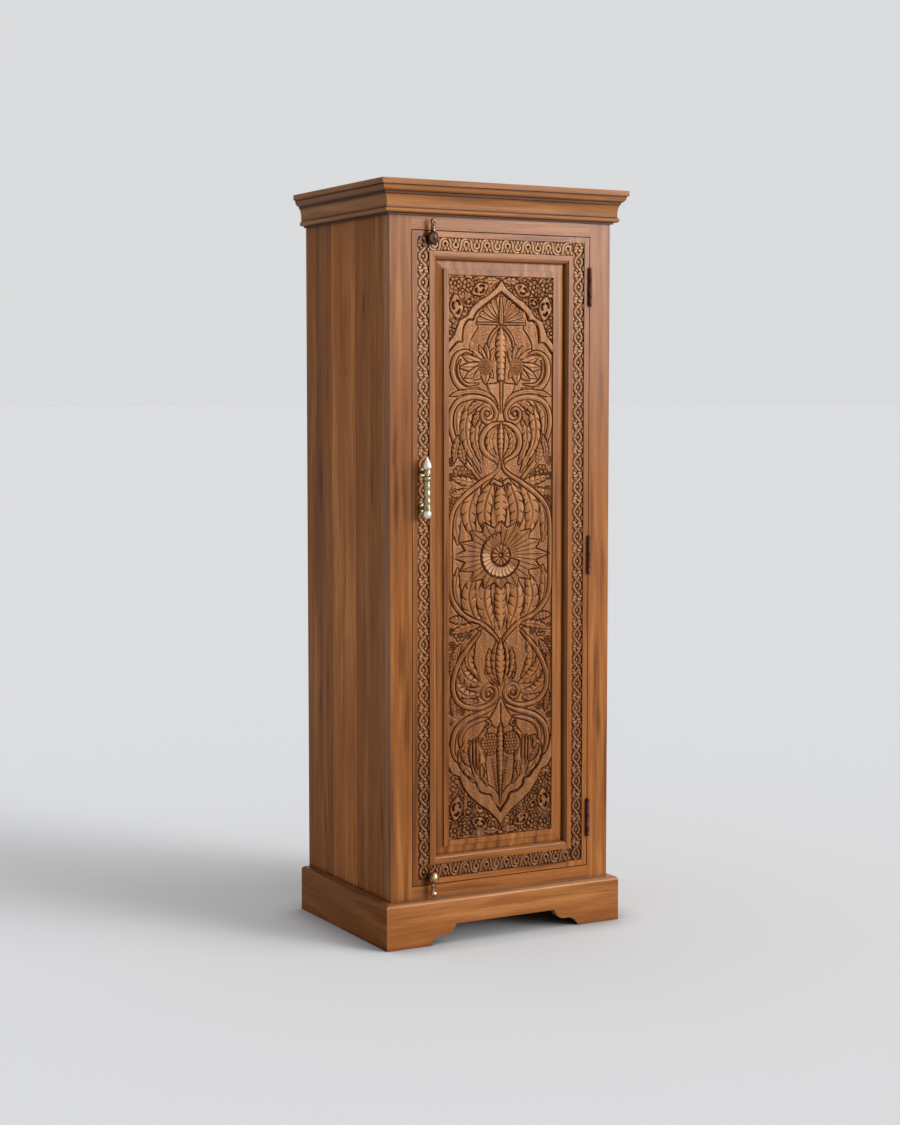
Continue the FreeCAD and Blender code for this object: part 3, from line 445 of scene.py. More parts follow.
# distance of the grid's points from a line, and the step of the line that is nearest
def nearLine(sheet, line, reach):
    window = windowOf(sheet, line.min(0) - reach, line.max(0) + reach)
    if window is None:
        return None
    xs, vs = sheet["x"][window[1]], sheet["v"][window[0]]
    best = np.full((len(vs), len(xs)), 1e9)
    nearest = np.zeros(best.shape, int)
    for number, (x, v) in enumerate(line):
        left = max(0, int((x - reach - xs[0]) / sheet["stepX"]))
        right = int((x + reach - xs[0]) / sheet["stepX"]) + 2
        bottom = max(0, int((v - reach - vs[0]) / sheet["stepV"]))
        top = int((v + reach - vs[0]) / sheet["stepV"]) + 2
        if right <= 0 or top <= 0:
            continue
        away = (xs[left:right] - x)[None, :] ** 2 + (vs[bottom:top] - v)[:, None] ** 2
        part = best[bottom:top, left:right]
        closer = away < part
        part[closer] = away[closer]
        nearest[bottom:top, left:right][closer] = number
    return window, np.sqrt(best), nearest


# cross-section of a form: out is 0 on its line and 1 at its edge
def sectionOf(style, out, away, wide):
    swell = np.sqrt(np.clip(1 - out ** 2, 0, 1))
    if style == "round":
        return swell
    if style == "band":
        return 0.25 + 0.75 * swell - 0.12 * np.exp(-((away - 0.45 * wide) / 0.8) ** 2)
    if style == "leaf":
        return (0.30 + 0.70 * swell) * (1 - 0.40 * np.exp(-(away / (0.10 * wide + 0.6)) ** 2))
    if style == "scoop":
        rim = np.sqrt(np.clip(1 - ((out - 0.72) / 0.28) ** 2, 0, 1))
        return np.where(out < 0.72, 0.62 + 0.38 * (out / 0.72) ** 2, rim)
    return np.clip(1 - out ** 6, 0, 1) ** 0.5


# one raised form along a line, half as wide as given from end to end, with a furrow round it
def lay(sheet, points, half, top, style="round", foot=0.4, teeth=0, moat=2.4):
    line = smoothLine(points)
    halves = np.atleast_1d(np.array(half, float))
    found = nearLine(sheet, line, halves.max() + moat + 1)
    if found is None:
        return
    window, away, nearest = found
    share = nearest / max(1, len(line) - 1)
    wide = np.maximum(np.interp(share, np.linspace(0, 1, len(halves)), halves), 0.05)
    out = away / wide
    notch = 0.0
    if teeth:
        lobe = (share * teeth - chisel["toothSlant"] * out) % 1.0
        out = out / (1 - chisel["toothBite"] * np.abs(2 * lobe - 1) ** 2)
        length = np.hypot(*np.diff(line, axis=0).T).sum() / teeth
        notch = np.exp(-(np.minimum(lobe, 1 - lobe) * length / chisel["notchWidth"]) ** 2)
        notch = chisel["notchDepth"] * notch * np.clip((out - 0.25) / 0.4, 0, 1)
    section = sectionOf(style, out, away, wide) * (1 - notch)
    inside = out < 1
    furrow = ~inside & (away < wide + moat)
    height = sheet["height"][window]
    height[furrow] = np.minimum(height, foot + chisel["furrowSlope"] * (away - wide).clip(0))[furrow]
    height[inside] = (foot + (top - foot) * section)[inside]


def groove(sheet, points, half, floor):
    found = nearLine(sheet, smoothLine(points), half + 3)
    if found is None:
        return
    window, away, nearest = found
    height = sheet["height"][window]
    height[:] = np.minimum(height, floor + chisel["grooveSlope"] * (away - half).clip(0))


def insideOf(xs, vs, outline):
    gridX, gridV = np.meshgrid(xs, vs)
    inside = np.zeros(gridX.shape, bool)
    for (x0, v0), (x1, v1) in zip(outline, np.roll(outline, -1, axis=0)):
        if v0 == v1:
            continue
        crosses = (v0 > gridV) != (v1 > gridV)
        inside ^= crosses & (gridX < (x1 - x0) * (gridV - v0) / (v1 - v0) + x0)
    return inside


# a field inside an outline; without a foot it is cut down from what is there
def area(sheet, points, level, edge, moat=0.0, foot=None, sharp=True):
    outline = np.array(points, float)
    line = smoothLine(np.vstack([outline, outline[:1]]), sharp=sharp)
    found = nearLine(sheet, line, 3.0)
    if found is None:
        return
    window, away, nearest = found
    inside = insideOf(sheet["x"][window[1]], sheet["v"][window[0]], outline if sharp else line)
    height = sheet["height"][window]
    near = np.clip(away / edge, 0, 1)
    if foot is None:
        target = level + (height - level) * (1 - near) ** 2
    else:
        target = foot + (level - foot) * np.sqrt(np.clip(1 - (1 - near) ** 2, 0, 1))
        furrow = ~inside & (away < moat)
        height[furrow] = np.minimum(height, foot + 0.3)[furrow]
    height[inside] = target[inside]


def around(x, v, reach, turn, flat=1.0):
    angle = math.radians(turn)
    return x + reach * math.cos(angle), v + flat * reach * math.sin(angle)


def leaf(sheet, x, v, angle, length, half, top, bend=0.0, **more):
    points = [around(x, v, length * share, angle + bend * share) for share in (0, 0.35, 0.7, 1)]
    lay(sheet, points, [0.35 * half, 0.85 * half, half, 0.92 * half, 0.6 * half, 0.1], top, "leaf", **more)


def petals(sheet, x, v, near, far, half, count, top, start=0.0, end=360.0, style="round", **more):
    gaps = count if abs(end - start) >= 359 else count - 1
    for k in range(count):
        turn = start + (end - start) * k / gaps
        points = [around(x, v, reach, turn) for reach in (near, far - half)]
        lay(sheet, points, [0.35 * half, 0.8 * half, half], top, style, **more)


def dome(sheet, x, v, radius, top, foot=0.0, style="round", **more):
    lay(sheet, [(x, v), (x + 0.01, v)], radius, top, style, foot, **more)


def ring(sheet, x, v, radius, half, top, **more):
    lay(sheet, [around(x, v, radius, turn) for turn in range(0, 361, 15)], half, top, **more)


def curl(sheet, x, v, radius, half, top, start, turns, hand):
    points = [around(x, v, radius * (1 - 0.8 * share), start + hand * 360 * turns * share)
              for share in np.linspace(0, 1, 30)]
    lay(sheet, points, [half, half, 0.75 * half, 0.6 * half], top, "band")
    dome(sheet, x, v, 0.26 * radius, top)


def blossom(sheet, x, v, radius, count, top, turn):
    petals(sheet, x, v, 0.30 * radius, radius, 2.0 * radius / count, count, top, turn, turn + 360, "scoop")
    dome(sheet, x, v, 0.32 * radius, top * 1.05)


def berries(sheet, places, radius, top):
    for x, v in places:
        dome(sheet, x, v, radius, top, foot=0.35 * top, moat=0.5)


# the same on the right and the left half of the panel

def both(points, half, top, style="leaf", **more):
    for side in (1, -1):
        lay(panel, [(side * x, v) for x, v in points], half, top, style, **more)


def bothGrooves(points, half, floor):
    for side in (1, -1):
        groove(panel, [(side * x, v) for x, v in points], half, floor)


def bothLeaves(rows, top, **more):
    for x, v, angle, length, half, bend in rows:
        leaf(panel, x, v, angle, length, half, top, bend, **more)
        leaf(panel, -x, v, 180 - angle, length, half, top, -bend, **more)


def bothBlossoms(flowers, count):
    for side in (1, -1):
        for x, v, radius in flowers:
            blossom(panel, side * x, v, radius, count, 7.2, 5)


def bothDomes(x, v, radius, top, **more):
    for side in (1, -1):
        dome(panel, side * x, v, radius, top, **more)


def toothed(points, half, top, teeth, moat=2.6):
    both(points, half, top, teeth=teeth, moat=moat)


def mirrored(right):
    return list(right) + [(-x, v) for x, v in right[::-1] if x > 0]


# tool marks, and furrows that are deep in some places and shallow in others
def handCut(sheet, rough, seed, patch, fill):
    chance = np.random.default_rng(seed)
    height = sheet["height"]
    rows, columns = height.shape
    marks = chance.normal(size=height.shape)
    marks = marks + np.roll(marks, 1, 0) + np.roll(marks, 1, 1) + np.roll(marks, (1, 1), (0, 1))
    coarse = chance.uniform(*fill, (rows // patch + 2, columns // patch + 2))
    alongRows, alongColumns = np.arange(rows) / patch, np.arange(columns) / patch
    part = np.array([np.interp(alongColumns, np.arange(coarse.shape[1]), row) for row in coarse])
    level = np.array([np.interp(alongRows, np.arange(coarse.shape[0]), column) for column in part.T]).T
    height = height + chisel["fill"] * np.clip(level - height, 0, None)
    slopes = np.gradient(height)
    plain = np.abs(slopes[0]) + np.abs(slopes[1]) < chisel["plainSlope"]
    marks = rough * marks * np.where(plain, chisel["marksOnPlain"], chisel["marksOnForms"])
    sheet["height"] = np.clip(height + marks, 0, height.max())


# how deep a point lies among its neighbours; this sets the painted shade in the carving's hollows
hollowDepth = {"reach": 4, "below": 3.2, "deep": 16, "least": 0.04}  # grid steps, mm, mm, share


# 0 on the tops, 1 deep in the cuts; the finish reads it from the mesh
def hollowOf(sheet):
    height, reach = sheet["height"], hollowDepth["reach"]
    padded = np.pad(height, reach, mode="edge")
    total = np.pad(np.cumsum(np.cumsum(padded, 0), 1), ((1, 0), (1, 0)))
    size = 2 * reach + 1
    sums = total[size:, size:] - total[:-size, size:] - total[size:, :-size] + total[:-size, :-size]
    below = (sums / size ** 2 - height) / hollowDepth["below"]
    return np.clip(below + (height.max() - height) / hollowDepth["deep"] + hollowDepth["least"], 0, 1)


def cellMiddles(grid):
    return 0.25 * (grid[1:, 1:] + grid[:-1, 1:] + grid[1:, :-1] + grid[:-1, :-1])


# closed mesh of some rows of a sheet: carved front, straight walls, flat back
def slab(name, sheet, rows, placeOf, backY, material, keep=None):
    cut = slice(rows[0], rows[1] + 1)
    gridX, gridV = np.meshgrid(sheet["x"], sheet["v"][cut])
    front = placeOf(gridX, gridV, sheet["height"][cut])
    number = len(front)
    index = np.arange(number).reshape(gridX.shape)
    cellCorners = (index[:-1, :-1], index[:-1, 1:], index[1:, 1:], index[1:, :-1])
    cells = np.ones(cellCorners[0].shape, bool)
    if keep is not None:
        cells = keep(cellMiddles(gridX), cellMiddles(gridV))
    quads = np.column_stack([corner[cells] for corner in cellCorners])
    edges = np.vstack([quads[:, [k, (k + 1) % 4]] for k in range(4)])
    forth = edges[:, 0] * number + edges[:, 1]
    back = edges[:, 1] * number + edges[:, 0]
    rim = edges[~np.isin(forth, back)]
    behind = front.copy()
    behind[:, 1] = backY
    walls = np.column_stack([rim[:, 1], rim[:, 0], rim[:, 0] + number, rim[:, 1] + number])
    if keep is None:
        points = np.vstack([front, behind, behind.mean(0)[None]])
        rears = np.column_stack([rim[:, 1] + number, rim[:, 0] + number, np.full(len(rim), 2 * number)])
    else:
        points = np.vstack([front, behind])
        rears = quads[:, ::-1] + number
    kinds = (quads, walls, rears)
    used = np.zeros(len(points), bool)
    for faces in kinds:
        used[faces.ravel()] = True
    renumber = np.cumsum(used) - 1
    hollow = np.concatenate([sheet["hollow"][cut].ravel(), np.zeros(len(points) - number)])[used]
    corners = np.concatenate([renumber[faces].ravel() for faces in kinds])
    sizes = np.concatenate([np.full(len(faces), faces.shape[1]) for faces in kinds])
    mesh = bpy.data.meshes.new(name)
    mesh.vertices.add(used.sum())
    mesh.vertices.foreach_set("co", points[used].astype(np.float32).ravel())
    mesh.loops.add(len(corners))
    mesh.loops.foreach_set("vertex_index", corners.astype(np.int32))
    mesh.polygons.add(len(sizes))
    mesh.polygons.foreach_set("loop_start", (np.cumsum(sizes) - sizes).astype(np.int32))
    mesh.polygons.foreach_set("use_smooth", np.arange(len(sizes)) < len(quads))
    mesh.update(calc_edges=True)
    mesh.validate()
    mesh.attributes.new("hollow", "FLOAT", "POINT").data.foreach_set("value", hollow.astype(np.float32))
    mesh.materials.append(material)
    return addObject(name, mesh)


# the door's carving: a sheet cut into pieces that ride on the door
def hangPieces(label, sheet, pieces, placeOf, replaced, material, keep=None):
    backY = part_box(replaced)[1].y
    cuts = np.linspace(0, len(sheet["v"]) - 1, pieces + 1).round().astype(int)
    for k in range(pieces):
        name = "%s_%d" % (label, k + 1)
        piece = slab(name, sheet, (cuts[k], cuts[k + 1]), placeOf, backY, material, keep)
        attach(piece, "door")
        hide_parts(replaced)


# Carved field of the door panel, from the corners inward and then from top to bottom; sizes in mm

panelCarving = {
    "grid": 1.0,
    "ground": 3.6,
    "top": 8.2,  # height of the highest forms
    "endGap": 0.05,
    "pieces": 5,
    "marks": {"rough": 0.28, "seed": 3, "patch": 16, "fill": (-3.0, 6.0)},
}
spandrel = {
    "seed": 7, "rows": 8, "columns": 6, "across": 23.0, "down": 20.0, "top": 657, "shake": 2, "size": 12.5,
    "flowers": [(90, 648, 16, 6), (126, 652, 16, 7), (105, 628, 12, 5)],
    "cartouches": [(122, 598, 17, 27, 8), (58, 640, 22, 14, 25), (90, 610, 15, 12, 35)],
}


def cartouche(x, v, wide, tall, tilt):
    lean = math.radians(tilt)

    def at(share, angle):
        across, up = wide * share * math.cos(angle), tall * share * math.sin(angle)
        return (x + across * math.cos(lean) - up * math.sin(lean),
                v + across * math.sin(lean) + up * math.cos(lean))

    outline = [at(1 + 0.08 * math.cos(4 * angle), angle) for angle in np.linspace(0, 2 * math.pi, 17)[:-1]]
    area(panel, outline, 7.6, edge=2.4, moat=3.0, foot=0.4, sharp=False)
    for start in (0.3, 2.4, 4.5):
        groove(panel, [at(0.55, start), at(0.62, start + 0.5), at(0.5, start + 1.0)], 1.5, 0.6)


# lobed cartouches, scrolls and leaves that leave only narrow channels of the ground
def carveSpandrels():
    chance = np.random.default_rng(spandrel["seed"])
    shake, size = spandrel["shake"], spandrel["size"]
    for up in (1, -1):
        for row in range(spandrel["rows"]):
            for column in range(-spandrel["columns"], spandrel["columns"] + 1):
                x = spandrel["across"] * (column + 0.5 * (row % 2)) + chance.uniform(-shake, shake)
                v = up * (spandrel["top"] - spandrel["down"] * row) + chance.uniform(-shake, shake)
                kind = chance.integers(0, 4)
                turn = chance.uniform(0, 360)
                if kind == 0:
                    curl(panel, x, v, size, 4.4, 7.2, turn, 1.1, 1 if x > 0 else -1)
                elif kind == 1:
                    blossom(panel, x, v, size, 5, 7.4, turn)
                else:
                    for k in range(3):
                        leaf(panel, x, v, turn + 120 * k, 15, 5.4, 7.2, 25, moat=1.6)
        for side in (1, -1):
            for x, v, radius, count in spandrel["flowers"]:
                blossom(panel, side * x, up * v, radius, count, 7.6, 20)
            for x, v, wide, tall, tilt in spandrel["cartouches"]:
                cartouche(side * x, up * v, wide, tall, -tilt * side * up)
            leaf(panel, side * 9, up * 661, up * (0 if side > 0 else 180), 40, 10, 7.6, teeth=3)


# a raised lobed band at each end, then two steps down to the ground of the field
def carveArches():
    outerTop = [(150, 508), (142, 515), (127, 532), (122, 545), (114, 565), (91, 578), (81, 595), (61, 612),
                (37, 625), (12, 645), (0, 662)]
    innerTop = [(150, 484), (140, 493), (131, 503), (119, 514), (106, 516), (105, 529), (101, 552), (89, 567),
                (76, 568), (73, 576), (63, 589), (36, 609), (0, 634)]
    stepTop = [(94, 478), (87, 497), (84, 515), (74, 533), (63, 547), (62, 557), (50, 564), (0, 564)]
    outerLow = [(150, -488), (142, -497), (134, -512), (113, -521), (104, -545), (84, -572), (60, -592),
                (34, -610), (9, -634), (0, -648)]
    innerLow = [(150, -436), (134, -448), (128, -476), (101, -497), (97, -512), (82, -535), (67, -540),
                (62, -556), (47, -568), (27, -573), (20, -588), (4, -608), (0, -615)]
    stepLow = [(104, -452), (98, -474), (76, -490), (70, -508), (56, -526), (40, -532), (34, -546),
               (16, -560), (0, -580)]
    for outer, inner, step in ((outerTop, innerTop, stepTop), (outerLow, innerLow, stepLow)):
        area(panel, mirrored([(150, 0)] + outer), 7.4, edge=1.6, moat=3.0, foot=0.3)
        area(panel, mirrored([(150, 0)] + inner), 4.6, edge=1.6)
        area(panel, mirrored([(step[0][0], 0.97 * step[0][1])] + step), panelCarving["ground"], edge=1.4)
        bothGrooves(inner, 1.5, 0.6)
        bothGrooves(step, 1.1, 1.2)


# shell and blade in the head of the upper arch
def carveShell(foot=562):
    for k in range(6):
        turn = math.radians(6 + 15.5 * k)
        reach = 62 - 9 * math.sin(2 * turn)
        both([(8 * math.cos(turn), foot + 8 * math.sin(turn)),
              (reach * math.cos(turn), foot + (reach - 4) * math.sin(turn))],
             [1.6, 4, 6.4, 6.6], 7.0, "scoop", moat=1.6)
    both([(0, 559), (34, 560), (66, 560)], 2.0, 6.4, "round")
    lay(panel, [(0, 558), (0, 628)], [4.5, 5.5, 5, 3.4, 0.4], 8.0, "leaf")
    both([(3, 556), (13, 547), (25, 534), (33, 518), (35, 503)], [2, 3.4, 3.4, 2.4], 7.0, "round")


# the two daisies in their frames, with the stem between them
def carveDaisies(x=43, v=458):
    rays = [(128, 48, 9, -10), (100, 54, 9.5, -8), (72, 52, 10, 0), (46, 60, 11, 0), (22, 68, 11, 0),
            (-2, 70, 11, 0), (-26, 62, 11, 0), (-52, 48, 10, 10), (-128, 34, 9, 0), (-90, 42, 12, 0)]
    bothLeaves([(x, v, *ray) for ray in rays], 7.2, moat=2.6)
    for side in (1, -1):
        dome(panel, side * x, v, 19, 8.0, foot=3.0, moat=2.4)
        for reach, count in [(5, 6), (10, 12), (15, 18)]:
            seeds = [around(side * x, v, reach, math.degrees(6.283 * k / count)) for k in range(count)]
            berries(panel, seeds, 2.1, 8.2 - 0.07 * reach)
    both([(60, 404), (88, 402), (110, 409), (125, 425), (132, 448), (128, 472), (117, 487), (98, 494),
          (80, 490)], [2.5, 5, 6.5, 6.5, 6.5, 6, 4, 2], 7.6, "band", moat=2.6)
    both([(62, 417), (90, 415), (106, 424), (115, 440), (117, 458), (111, 472)], [1, 3, 3.6, 3.6, 3, 1],
         6.8, "round")
    lay(panel, [(0, 552), (0, 500), (0, 440), (0, 376)], [3, 13, 15, 13, 11, 9, 7, 4], 7.8, teeth=13)


def carveUpperCalyx():
    area(panel, mirrored([(0, 424), (12, 418), (38, 416), (34, 402), (22, 386), (13, 372), (9, 356),
                          (0, 348)]), 7.2, edge=2.4, moat=2.4, foot=0.4)
    lay(panel, [(0, 420), (0, 352)], [4, 3.4, 3, 2.2], 8.0, "round")
    both([(12, 366), (24, 383), (42, 393), (70, 399), (100, 398), (122, 393), (139, 388)],
         [2, 4.4, 5, 5, 4.6, 4.4, 6, 0.6], 7.4)


# upper lyre: leaves first, the frame over them, then the bud
def carveUpperLyre():
    toothed([(96, 376), (120, 350), (122, 312), (112, 276), (94, 242), (72, 206)],
            [4, 14, 17, 17, 16, 14, 9, 2], 7.0, 9, moat=1.6)
    toothed([(62, 372), (90, 344), (97, 306), (90, 270), (72, 238), (56, 208)],
            [4, 12, 15, 15, 14, 11, 7, 2], 7.3, 8)
    toothed([(50, 344), (68, 318), (72, 286), (62, 254), (50, 226)], [4, 10, 12, 11, 8, 2], 7.0, 6)
    bothLeaves([(50, 374, -6, 50, 9, -30), (54, 350, -30, 40, 8, -30)], 7.5, teeth=4, moat=2.6)
    both([(54, 184), (64, 196), (92, 226), (110, 252), (126, 282), (136, 312), (137, 335), (132, 356),
          (118, 374), (98, 383), (76, 386), (54, 384), (34, 377), (20, 364), (13, 349), (17, 333),
          (29, 325), (43, 327), (52, 337), (52, 350), (44, 358), (35, 356), (31, 349)],
         [3, 5, 6, 6, 6, 6, 6, 6, 5.6, 5.2, 5, 4.8, 4.2, 3.4], 8.0, "band", moat=2.8)
    bothDomes(38, 346, 6, 7.6)
    both([(6, 324), (26, 318), (45, 302), (53, 280), (47, 258), (30, 244), (14, 235), (6, 222)],
         [3, 6, 7, 7, 6.5, 6, 4.5, 3], 7.6, "band", moat=2.8)
    both([(12, 316), (28, 298), (33, 278), (26, 258), (10, 242)], [2, 8, 10, 8, 2], 7.0, teeth=6)
    lay(panel, [(0, 326), (0, 230)], [1, 6, 9, 9, 8, 6, 4, 2], 7.8, teeth=8)


# flowers and leaves beside the crossing above the lens
def carveUpperFlowers():
    flowers = [(113, 206, 17), (136, 232, 9), (88, 204, 8), (136, 196, 8), (130, 160, 10), (137, 140, 7)]
    bothBlossoms(flowers, 7)
    bothDomes(113, 206, 5, 7.6)
    bothLeaves([(60, 180, 6, 78, 11, 6), (128, 236, 100, 60, 10, 0), (100, 232, 60, 46, 10, 20),
                (88, 164, -24, 52, 11, 14), (122, 142, -70, 44, 9, 10)], 7.2, teeth=5, moat=2.6)


# petals that hang above the rosette and rise below it, and the bands that close round them
def carveLens():
    for base, turn in ((168, 1), (-152, -1)):
        def down(points):
            return [(x, base - turn * drop) for x, drop in points]

        toothed(down([(88, 14), (116, 48), (124, 84), (118, 130)]), [3, 11, 14, 11, 2], 6.8, 5)
        toothed(down([(58, -14), (80, 28), (88, 62), (80, 96), (64, 116)]), [6, 18, 23, 20, 13, 2], 7.2, 6)
        toothed(down([(22, -16), (40, 26), (46, 60), (38, 92), (24, 116)]), [5, 17, 22, 19, 13, 2], 7.4, 6)
        lay(panel, down([(0, -20), (0, 125)]), [3, 11, 16, 17, 16, 13, 8, 2], 7.8, teeth=9, moat=2.6)
    both([(3, 230), (8, 214), (24, 200), (46, 188), (62, 178), (80, 166), (102, 150), (125, 126), (136, 96),
          (139, 50), (139, 5), (139, -45), (136, -84), (122, -112), (98, -136), (62, -153), (44, -162),
          (28, -175), (10, -194), (3, -214)], [3, 5, 5.6, 5.6, 5.6, 5.6, 5.6, 5.6, 5.6, 5, 3], 8.0, "band",
         moat=2.8)
    both([(0, 177), (11, 181), (20, 186), (26, 180)], [5, 5, 4.4, 3.2], 7.9, "round")


rosette = {
    "middle": 7,  # height above the middle of the panel
    "flat": 0.92,  # the star is a little flatter than round
    "star": [(0, 134), (9, 98), (18, 116), (28, 86), (38, 106), (50, 78), (62, 96), (76, 72), (90, 88)],
    "ring": {"near": 27, "far": 52, "half": 5.6, "count": 19, "top": 8.2, "start": 98, "end": 336},
    "heart": {"near": 7, "far": 25, "half": 5.6, "count": 12, "top": 8.0},
    "paintedHighlight": {"inside": 30, "outside": 53, "above": 4.5, "lean": 0.5, "below": -12},
}


# star of leaves, an open ring of petals on it and a round flower inside
def carveRosette():
    middle, flat, star = rosette["middle"], rosette["flat"], rosette["star"]
    star = star + [(180 - turn, reach) for turn, reach in star[-2::-1]]
    star = star + [(360 - turn, reach) for turn, reach in star[-2:0:-1]]
    area(panel, [around(0, middle, reach, turn, flat) for turn, reach in star], 7.3, edge=5.0, moat=3.0,
         foot=0.5)
    for (turn0, reach0), (turn1, reach1) in zip(star, star[1:] + [(360, star[0][1])]):
        for share in (0.0, 0.33, 0.67):
            turn = turn0 + share * (turn1 - turn0)
            reach = 0.95 * (reach0 + share * (reach1 - reach0))
            ends = [around(0, middle, 28, turn), around(0, middle, reach, turn, flat)]
            groove(panel, ends, 0.4, 5.4 if share else 3.4)
    openRing = [around(0, middle, 54, turn) for turn in range(92, 343, 10)]
    openRing += [around(0, middle, 26, turn) for turn in range(342, 91, -10)]
    area(panel, openRing, 3.4, edge=1.6, moat=3.4, foot=0.2)
    petals(panel, 0, middle, style="scoop", foot=1.0, moat=0.8, **rosette["ring"])
    dome(panel, 0, middle, rosette["ring"]["near"], 3.0, foot=0.4, style="flat", moat=1.6)
    petals(panel, 0, middle, foot=1.0, moat=0.8, **rosette["heart"])
    dome(panel, 0, middle, rosette["heart"]["near"], 0.8, foot=0.4, style="flat", moat=0)
    dome(panel, 0, middle, 4.2, 6.0, foot=0.8)


# flowers and leaves below the lens, the lower lyre and its palmette
def carveLowerLyre():
    flowers = [(112, -180, 15), (133, -206, 10), (90, -182, 8), (136, -172, 8), (137, -232, 8),
               (128, -364, 11), (137, -344, 8), (108, -366, 8), (138, -388, 7)]
    bothBlossoms(flowers, 6)
    bothLeaves([(62, -160, -4, 76, 11, -8), (112, -206, -58, 48, 10, 0), (134, -240, -94, 52, 9, 0),
                (96, -150, 22, 48, 10, -14), (134, -330, -100, 50, 8, 0)], 7.2, teeth=5, moat=2.6)
    toothed([(70, -190), (88, -226), (88, -256), (60, -292)], [2, 14, 17, 14, 3], 7.0, 6)
    toothed([(104, -236), (108, -262), (90, -288), (54, -304)], [3, 14, 18, 14, 3], 7.2, 6)
    toothed([(128, -276), (120, -308), (92, -328), (58, -326)], [3, 14, 17, 13, 3], 7.4, 6)
    toothed([(112, -336), (90, -344), (66, -342)], [2, 8, 10, 4], 7.0, 4)
    both([(58, -178), (66, -187), (84, -206), (103, -229), (119, -256), (129, -284), (130, -312),
          (121, -335), (105, -350), (84, -357), (58, -360), (34, -353), (17, -341), (11, -327), (15, -313),
          (27, -306), (40, -308), (49, -319), (48, -333), (39, -340), (30, -337), (27, -330)],
         [3, 5, 6, 6, 6, 6, 6, 5.6, 5.2, 5, 4.8, 4.2, 3.4], 8.0, "band", moat=2.8)
    bothDomes(34, -327, 6, 7.6)
    for side in (1, -1):
        for angle, length, half, bend in [(24, 70, 14, 34), (46, 92, 15, 24), (70, 104, 15, 14)]:
            leaf(panel, 0, -304, angle if side > 0 else 180 - angle, length, half, 7.2, side * bend, teeth=6)
    lay(panel, [(0, -308), (0, -196)], [2, 10, 14, 14, 10, 1], 7.8, teeth=8)


# lower calyx, C-scrolls, grapes and the hanging blade
def carveGrapes():
    both([(8, -354), (40, -368), (70, -377), (100, -389), (124, -412), (132, -445), (127, -472),
          (114, -486), (100, -488)], [3, 5, 6, 6.2, 6.5, 6.5, 6, 4, 2], 7.9, "band", moat=2.8)
    both([(36, -386), (66, -391), (92, -402), (108, -422), (110, -444), (100, -458), (87, -457), (82, -446),
          (90, -439)], [2, 4.6, 5, 5, 4.8, 4.4, 3.8, 3], 7.5, "band", moat=2.6)
    toothed([(40, -410), (54, -450), (56, -500), (36, -548)], [4, 14, 18, 14, 2], 6.8, 7)
    toothed([(96, -440), (104, -470), (96, -500), (74, -530)], [4, 13, 15, 11, 2], 6.6, 5)
    for x in (64, 73, 82):
        both([(x, -432 - 0.4 * (x - 64)), (x, -470), (x - 2, -506 + 0.5 * (x - 64))],
             [1.6, 4.2, 4.2, 3.4, 1], 6.8, "round")
    bothLeaves([(106, -462, -112, 44, 8, -10), (52, -500, -100, 34, 6, 10)], 6.8, teeth=5)
    area(panel, mirrored([(0, -336), (8, -350), (14, -364), (28, -384), (44, -398), (38, -408), (24, -402),
                          (14, -410), (0, -412)]), 7.4, edge=2.4, moat=2.4, foot=0.4)
    groove(panel, [(0, -352), (0, -410)], 0.8, 3.0)
    for side in (1, -1):
        curl(panel, side * 37, -401, 9, 3.4, 7.8, 90, 1.1, side)
        dome(panel, side * 29, -450, 27, 5.4, foot=0.8)
        for row, count in enumerate((3, 5, 6, 6, 5, 4, 2)):
            across = [29 + 7.6 * (k - (count - 1) / 2) for k in range(count)]
            berries(panel, [(side * x, -428 - 7.4 * row) for x in across], 4.3, 7.6)
        berries(panel, [(side * (21 - 1.3 * k), -486 - 7 * k) for k in range(12)], 3.2, 7.0)
    lay(panel, [(0, -404), (0, -470), (0, -520), (0, -596)], [4, 9, 9, 8, 7, 5, 3, 1], 7.9, teeth=16)


carvedWood = woodMaterial("wood_carving", "z", 55, tone=1.06, gloss=0.6, carved=True, wearAndSheen=0.42)
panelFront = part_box("panel_carving")[0].y
panelMiddle = middleOf("panel_carving")
panelHalf = halfOf("panel_carving")
panelTall = panelHalf.z - panelCarving["endGap"]
panel = newSheet(panelHalf.x, panelTall, panelCarving["grid"], panelCarving["ground"])
for carve in (carveSpandrels, carveArches, carveShell, carveDaisies, carveUpperCalyx, carveUpperLyre,
              carveUpperFlowers, carveLens, carveRosette, carveLowerLyre, carveGrapes):
    carve()
handCut(panel, **panelCarving["marks"])
panel["hollow"] = hollowOf(panel)

# painted highlight: the rosette's ring is made pale on its lower left, as if lit there
paintedHighlight = rosette["paintedHighlight"]
across, up = np.meshgrid(panel["x"], panel["v"] - rosette["middle"])
reach = np.hypot(across, up)
onRing = (reach > paintedHighlight["inside"]) & (reach < paintedHighlight["outside"]) & (panel["height"] > paintedHighlight["above"])
panel["hollow"][onRing & (paintedHighlight["lean"] * across + up < paintedHighlight["below"])] = -1


def onPanel(x, v, height):
    depth = (panelCarving["top"] - height.ravel()) / perMetre
    return np.column_stack([x.ravel() / perMetre, panelFront + depth, (panelMiddle.z + v.ravel()) / perMetre])


hangPieces("panel_relief", panel, panelCarving["pieces"], onPanel, "panel_carving", carvedWood)
print("panel carved in", panelCarving["pieces"], "pieces")

# Carved border of the door: two strands laced round flowers, a scroll with rings across the ends

